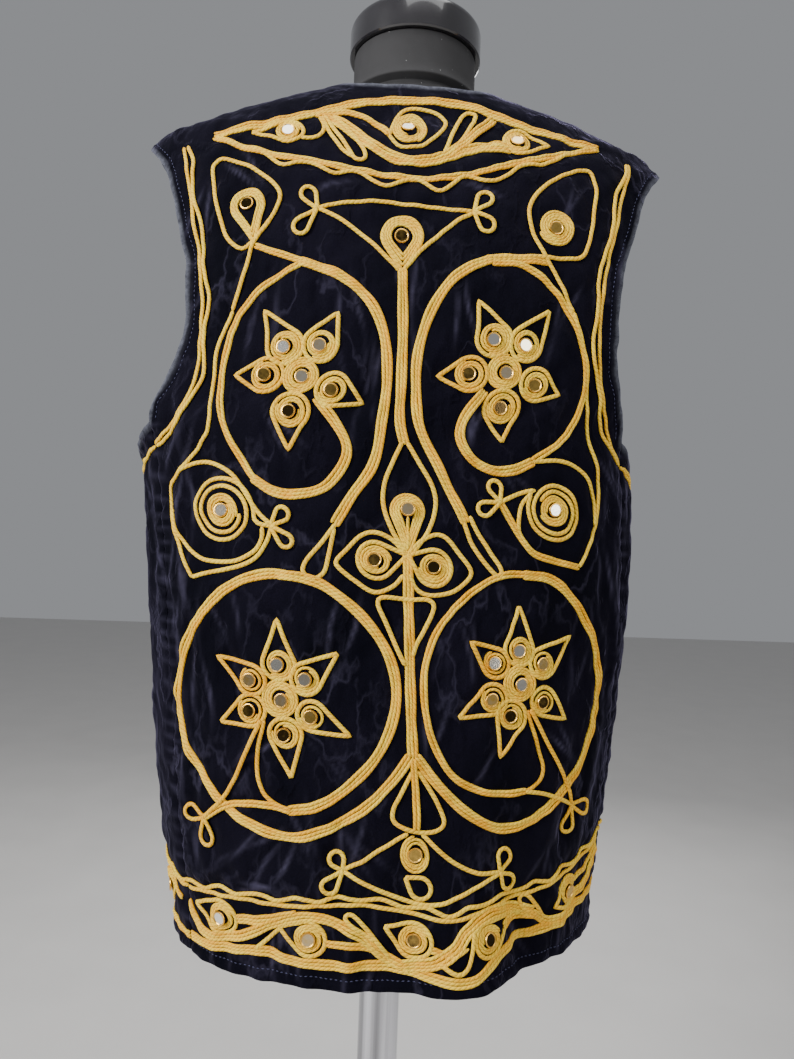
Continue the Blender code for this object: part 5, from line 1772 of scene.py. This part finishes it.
@dataclass
class MirrorWork:
    """Small round mirrors, each held in a thread-wound gold rim.

    Attributes:
        radius: a mirror's radius.
        thick: its thickness.
        rim: the rim's half thickness.
    """

    cloth: Cloth
    radius: float = 0.0049
    thick: float = 0.0009
    rim: float = 0.00070

    def glass(self) -> Object:
        """One mirror: a disc with a bevelled edge, lying on the floor plane."""
        clear_selection()
        bpy.ops.mesh.primitive_cylinder_add(vertices=20, radius=self.radius, depth=self.thick)
        obj = bpy.context.object
        bpy.ops.object.mode_set(mode="EDIT")
        bpy.ops.mesh.select_all(action="SELECT")
        bpy.ops.mesh.bevel(offset=self.thick * 0.22, segments=1)
        bpy.ops.object.mode_set(mode="OBJECT")
        return obj

    def ring(self) -> Object:
        """One rim: a ring wound with thread, a little uneven."""
        clear_selection()
        bpy.ops.mesh.primitive_torus_add(major_radius=self.radius + self.rim * 0.5,
                                         minor_radius=self.rim, major_segments=36,
                                         minor_segments=7)
        obj = bpy.context.object
        for vert in obj.data.vertices:
            angle = math.atan2(vert.co.y, vert.co.x)
            swell = 1 + 0.05 * math.sin(18 * angle) + 0.03 * math.sin(3 * angle + 1)
            vert.co.z *= swell * 1.15
        return obj

    def scatter(self, name: str, model: Object, places: Sequence[Place],
                lift: float, material: Material) -> None:
        """Copies a model to every place, tipped a little each way, and joins the copies."""
        shape = np.array([vert.co[:] for vert in model.data.vertices])
        faces = [list(face.vertices) for face in model.data.polygons]
        bpy.data.objects.remove(model)
        spots = np.array(places)
        points, normals = self.cloth.place(spots[:, 0], spots[:, 1], lift)
        verts, every = [], []
        for k, (point, normal) in enumerate(zip(points, normals)):
            tip = 0.13 * np.array([math.sin(2.3 * k), math.cos(1.7 * k), math.sin(3.1 * k + 1)])
            up = normal + tip
            up /= np.linalg.norm(up)
            side = np.cross((0.0, 0.0, 1.0), up)
            side /= np.linalg.norm(side)
            turn = np.column_stack([side, np.cross(up, side), up])
            every += [[v + k * len(shape) for v in face] for face in faces]
            verts.append(shape @ turn.T + point)
        mesh = bpy.data.meshes.new(name)
        mesh.from_pydata(np.vstack(verts).tolist(), [], every)
        mesh.materials.append(material)
        # for the glasses, each one's tone picks the reflection painted into it
        tones = np.repeat(0.5 + 0.5 * np.sin(7.3 * np.arange(len(points)) + 1.0), len(shape))
        write_attribute(mesh, "tone", tones)
        obj = bpy.data.objects.new(name, mesh)
        bpy.context.scene.collection.objects.link(obj)
        pick(obj)
        bpy.ops.object.shade_smooth_by_angle(angle=math.radians(30))
        seat(obj)

    def build(self, places: Sequence[Place], finishes: Finishes) -> None:
        """Sets a mirror and a rim at every place."""
        self.scatter("mirror_glasses", self.glass(), places, 0.0012, finishes.mirror)
        self.scatter("mirror_rims", self.ring(), places, 0.0014, finishes.rim)


@dataclass
class Embroidery:
    """All the couched cord and the mirrors."""

    motifs: list[Motif]
    cloth: Cloth

    def build(self, finishes: Finishes) -> None:
        """Lays each motif's cords, then all the mirrors."""
        layer = CordLayer(self.cloth)
        for motif in self.motifs:
            obj = layer.build(motif.name, motif.cords, finishes.cord)
            seat(obj, motif.replaces)
        places = [(arc * MM, height * MM) for motif in self.motifs for arc, height in motif.mirrors]
        MirrorWork(self.cloth).build(places, finishes)


def all_motifs() -> list[Motif]:
    """Every motif, back first."""
    motifs = yoke_motifs() + upper_motifs() + oval_motifs() + middle_motifs()
    motifs += ring_motifs() + hem_motifs() + armhole_motifs()
    for side in Side:
        motifs += front_motifs(side)
    return motifs


class Ring(NamedTuple):
    """A level cut through the dress form."""

    height: float
    half_width: float
    back: float
    front: float


class Inset(NamedTuple):
    """A level where the form follows the vest's shoulder, this far inside it."""

    height: float
    inside: float


@dataclass
class DressForm:
    """The limbless torso with its neck and cap."""

    rows: tuple[Ring, ...] = (
        Ring(0.720, 0.148, 0.090, 0.080), Ring(0.727, 0.160, 0.101, 0.090),
        Ring(0.750, 0.168, 0.107, 0.094), Ring(0.800, 0.170, 0.110, 0.095),
        Ring(0.860, 0.163, 0.106, 0.090), Ring(0.920, 0.149, 0.097, 0.083),
        Ring(0.980, 0.138, 0.090, 0.080), Ring(1.040, 0.145, 0.095, 0.086),
        Ring(1.100, 0.159, 0.103, 0.094), Ring(1.160, 0.170, 0.108, 0.097),
        Ring(1.220, 0.178, 0.103, 0.093), Ring(1.270, 0.184, 0.094, 0.085),
        Ring(1.300, 0.187, 0.087, 0.079), Ring(1.320, 0.188, 0.081, 0.074),
        Ring(1.334, 0.186, 0.076, 0.070))
    shoulder: tuple[Inset, ...] = (
        Inset(1.346, 0.0040), Inset(1.356, 0.0040), Inset(1.366, 0.0048),
        Inset(1.374, 0.0064), Inset(1.380, 0.0075))
    squareness: float = 2.3
    neck_radius: float = 0.0575
    neck_top: float = 1.4237
    cap_radius: float = 0.062
    cap_bottom: float = 1.424
    cap_height: float = 0.030

    @staticmethod
    def loop(half_width: float, back: float, front: float, squareness: float, height: float,
             shift: float = 0.0, sides: int = 108) -> Points:
        """A level loop of points."""
        angle = np.linspace(0, 2 * math.pi, sides, endpoint=False)
        x, y = squarish(angle, half_width, back, front, squareness)
        return np.column_stack([shift + x, y, np.full_like(x, height)])

    def loops(self) -> list[Points]:
        """The torso's loops from the underside to the top of the neck."""
        heights = [row.height for row in self.rows]
        fine = np.unique(np.concatenate([heights, np.linspace(0.760, 1.334, 64)]))
        loops = []
        for height in fine:
            values = [float(smooth(heights, [row[c] for row in self.rows], np.array(height)))
                      for c in (1, 2, 3)]
            loops.append(self.loop(*values, self.squareness, height))
        for height, inside in self.shoulder:
            half_width, back, front, squareness, shift, _ = FORM.cut(np.array(height))
            below, above = FORM.cut(np.array(height - 0.001)), FORM.cut(np.array(height + 0.001))
            inset = [inside * math.hypot(1, float(above[c] - below[c]) / 0.002)
                     for c in range(3)]
            loops.append(self.loop(float(half_width) - inset[0], float(back) - inset[1],
                                   float(front) - inset[2], float(squareness), height,
                                   float(shift)))
        for height, radius in ((1.384, 0.0612), (1.388, 0.0590), (1.392, 0.0580),
                               (1.396, self.neck_radius), (1.410, self.neck_radius),
                               (self.neck_top, self.neck_radius)):
            loops.append(self.loop(radius, radius, radius, 2.0, height))
        return loops

    def build(self, finishes: Finishes) -> None:
        """Lofts the torso and turns the cap."""
        loops = self.loops()
        sides = len(loops[0])
        last = (len(loops) - 1) * sides
        torso = from_arrays("form_torso_shell", np.vstack(loops), ring_quads(len(loops), sides),
                            finishes.shell, ends=[range(sides), range(last, last + sides)])
        CordLayer.turn_outwards(torso)
        edge = torso.modifiers.new("edge", "BEVEL")
        edge.width, edge.segments, edge.limit_method = 0.0015, 3, "ANGLE"
        edge.angle_limit = math.radians(50)
        finish_modifiers(torso)
        bpy.ops.object.shade_smooth_by_angle(angle=math.radians(40))
        seat(torso, ("form_torso",))
        radius, low, top = self.cap_radius, self.cap_bottom, self.cap_bottom + self.cap_height
        cap = turned("form_cap_turned", [
            (radius - 0.0012, low), (radius, low + 0.0012), (radius, low + 0.008),
            (radius, top - 0.007), (radius - 0.0006, top - 0.0040), (radius - 0.0022, top - 0.0016),
            (radius - 0.0050, top - 0.0003), (radius - 0.0090, top + 0.0004),
            (0.030, top + 0.0020), (0.012, top + 0.0028)], finishes.cap)
        seat(cap, ("form_cap",))


def turned(name: str, profile: Sequence[tuple[float, float]], material: Material,
           sides: int = 96) -> Object:
    """A round piece, drawn up from a disc step by step as by hand.

    Args:
        name: the piece's name.
        profile: (radius, height) from the underside's edge to the top's last ring.
        material: its finish.
        sides: how many sides it has.

    Returns:
        The object.
    """
    clear_selection()
    radius, height = profile[0]
    bpy.ops.mesh.primitive_circle_add(vertices=sides, radius=radius, fill_type="NGON",
                                      location=(0.0, 0.0, height))
    obj = bpy.context.object
    obj.name = obj.data.name = name
    bpy.ops.object.transform_apply(location=True)
    bpy.ops.object.mode_set(mode="EDIT")
    bpy.ops.mesh.select_all(action="SELECT")
    for (before, low), (after, high) in zip(profile, profile[1:]):
        bpy.ops.mesh.extrude_region_move(TRANSFORM_OT_translate={"value": (0, 0, high - low)})
        share = after / before
        bpy.ops.transform.resize(value=(share, share, 1.0), center_override=(0.0, 0.0, high))
    bpy.ops.mesh.select_all(action="SELECT")
    bpy.ops.mesh.normals_make_consistent(inside=False)
    bpy.ops.object.mode_set(mode="OBJECT")
    obj.data.materials.append(material)
    pick(obj)
    bpy.ops.object.shade_smooth_by_angle(angle=math.radians(32))
    return obj


@dataclass
class Stand:
    """The pole and the round base it stands in."""

    pole_radius: float = 0.019
    base_radius: float = 0.170
    base_edge: float = 0.007
    crown: float = 0.012
    collar_radius: float = 0.027
    collar_top: float = 0.045
    form_bottom: float = 0.720

    def build(self, finishes: Finishes) -> None:
        """Turns the pole and the base."""
        low, high = self.base_edge + SEAM_GAP, self.form_bottom - SEAM_GAP
        pole = turned("pole_tube", [
            (self.pole_radius - 0.0008, low), (self.pole_radius, low + 0.0008),
            (self.pole_radius, 0.30), (self.pole_radius, high - 0.0008),
            (self.pole_radius - 0.0008, high)], finishes.steel)
        seat(pole, ("pole",))
        bore = self.pole_radius + SEAM_GAP
        base = turned("base_plate", [
            (self.base_radius - 0.0012, 0.0), (self.base_radius, 0.0012),
            (self.base_radius, self.base_edge - 0.0022),
            (self.base_radius - 0.0007, self.base_edge - 0.0006),
            (self.base_radius - 0.0025, self.base_edge), (0.130, self.base_edge + 0.0012),
            (0.100, self.base_edge + 0.0020), (0.070, self.base_edge + 0.0034),
            (0.045, self.crown), (self.collar_radius + 0.0035, self.crown + 0.0020),
            (self.collar_radius + 0.0008, self.crown + 0.0040),
            (self.collar_radius, self.crown + 0.0070),
            (self.collar_radius, self.collar_top - 0.0018),
            (self.collar_radius - 0.0006, self.collar_top - 0.0006),
            (self.collar_radius - 0.0018, self.collar_top), (bore, self.collar_top),
            (bore, self.base_edge)], finishes.enamel)
        seat(base, ("base",))


@dataclass
class Studio:
    """The floor, the soft lights and the camera at the photograph's viewing angle."""

    distance: float = 0.76
    eye_height: float = 0.98
    azimuth_deg: float = 3.0
    roll_deg: float = 2.2
    focal_px: float = 795.0
    image_width_px: float = 794.0

    def build(self, finishes: Finishes) -> None:
        """Builds the floor, the lights, the surroundings and the camera."""
        self.build_floor(finishes)
        self.build_lights()
        self.build_camera()

    def build_floor(self, finishes: Finishes) -> None:
        """A wide plain pale floor."""
        clear_selection()
        bpy.ops.mesh.primitive_plane_add(size=14.0, location=(0.0, 0.0, 0.0))
        floor = bpy.context.object
        floor.name = floor.data.name = "studio_floor"
        floor.data.materials.append(finishes.floor)

    def build_lights(self) -> None:
        """A large soft light from the left, a weaker one from the right and one above."""
        world = bpy.context.scene.world or bpy.data.worlds.new("studio")
        bpy.context.scene.world = world
        world.use_nodes = True
        back = world.node_tree.nodes["Background"]
        back.inputs["Color"].default_value = (0.80, 0.82, 0.86, 1.0)
        back.inputs["Strength"].default_value = 0.34
        for name, place, size, power in (
                ("soft_left", (-1.9, -1.2, 1.8), 0.9, 84.0),
                ("soft_right", (1.6, -1.3, 1.4), 1.1, 17.0),
                ("soft_above", (0.1, -0.5, 2.7), 1.4, 22.0),
                ("soft_front", (0.4, 1.9, 1.6), 1.2, 20.0)):
            light = bpy.data.lights.new(name, "AREA")
            light.size = size
            light.energy = power
            lamp = bpy.data.objects.new(name, light)
            bpy.context.scene.collection.objects.link(lamp)
            spot = np.array(place)
            lamp.matrix_world = self.facing(spot, np.array((0.0, 0.0, 1.0)) - spot, 0.0)

    @staticmethod
    def facing(place: Points, way: Points, roll_deg: float) -> Matrix:
        """A matrix at a place that looks along a way, rolled about it."""
        way = way / np.linalg.norm(way)
        right = np.cross(way, (0.0, 0.0, 1.0))
        right /= np.linalg.norm(right)
        up = np.cross(right, way)
        c, s = math.cos(math.radians(roll_deg)), math.sin(math.radians(roll_deg))
        right, up = right * c + up * s, up * c - right * s
        return Matrix([[right[k], up[k], -way[k], place[k]] for k in range(3)] + [[0, 0, 0, 1]])

    def build_camera(self) -> None:
        """The camera, level and a little to one side, rolled as the photograph is."""
        turn = math.radians(self.azimuth_deg)
        way = np.array([math.sin(turn), math.cos(turn), 0.0])
        place = -way * self.distance + np.array([0.0, 0.0, self.eye_height])
        lens = bpy.data.cameras.new("camera")
        lens.sensor_fit = "HORIZONTAL"
        lens.sensor_width = 36.0
        lens.lens = 36.0 * self.focal_px / self.image_width_px
        lens.clip_start = 0.01
        camera = bpy.data.objects.new("camera", lens)
        bpy.context.scene.collection.objects.link(camera)
        camera.matrix_world = self.facing(place, way, self.roll_deg)
        bpy.context.scene.camera = camera


def main() -> None:
    """Builds everything in order."""
    logging.basicConfig(level=logging.INFO, format="%(name)s %(message)s")
    finishes = Finishes()
    Studio().build(finishes)
    motifs = all_motifs()
    cloth = Cloth([cord for motif in motifs for cord in motif.cords])
    Vest(cloth).build(finishes)
    Embroidery(motifs, cloth).build(finishes)
    DressForm().build(finishes)
    Stand().build(finishes)


if __name__ == "__main__":
    main()
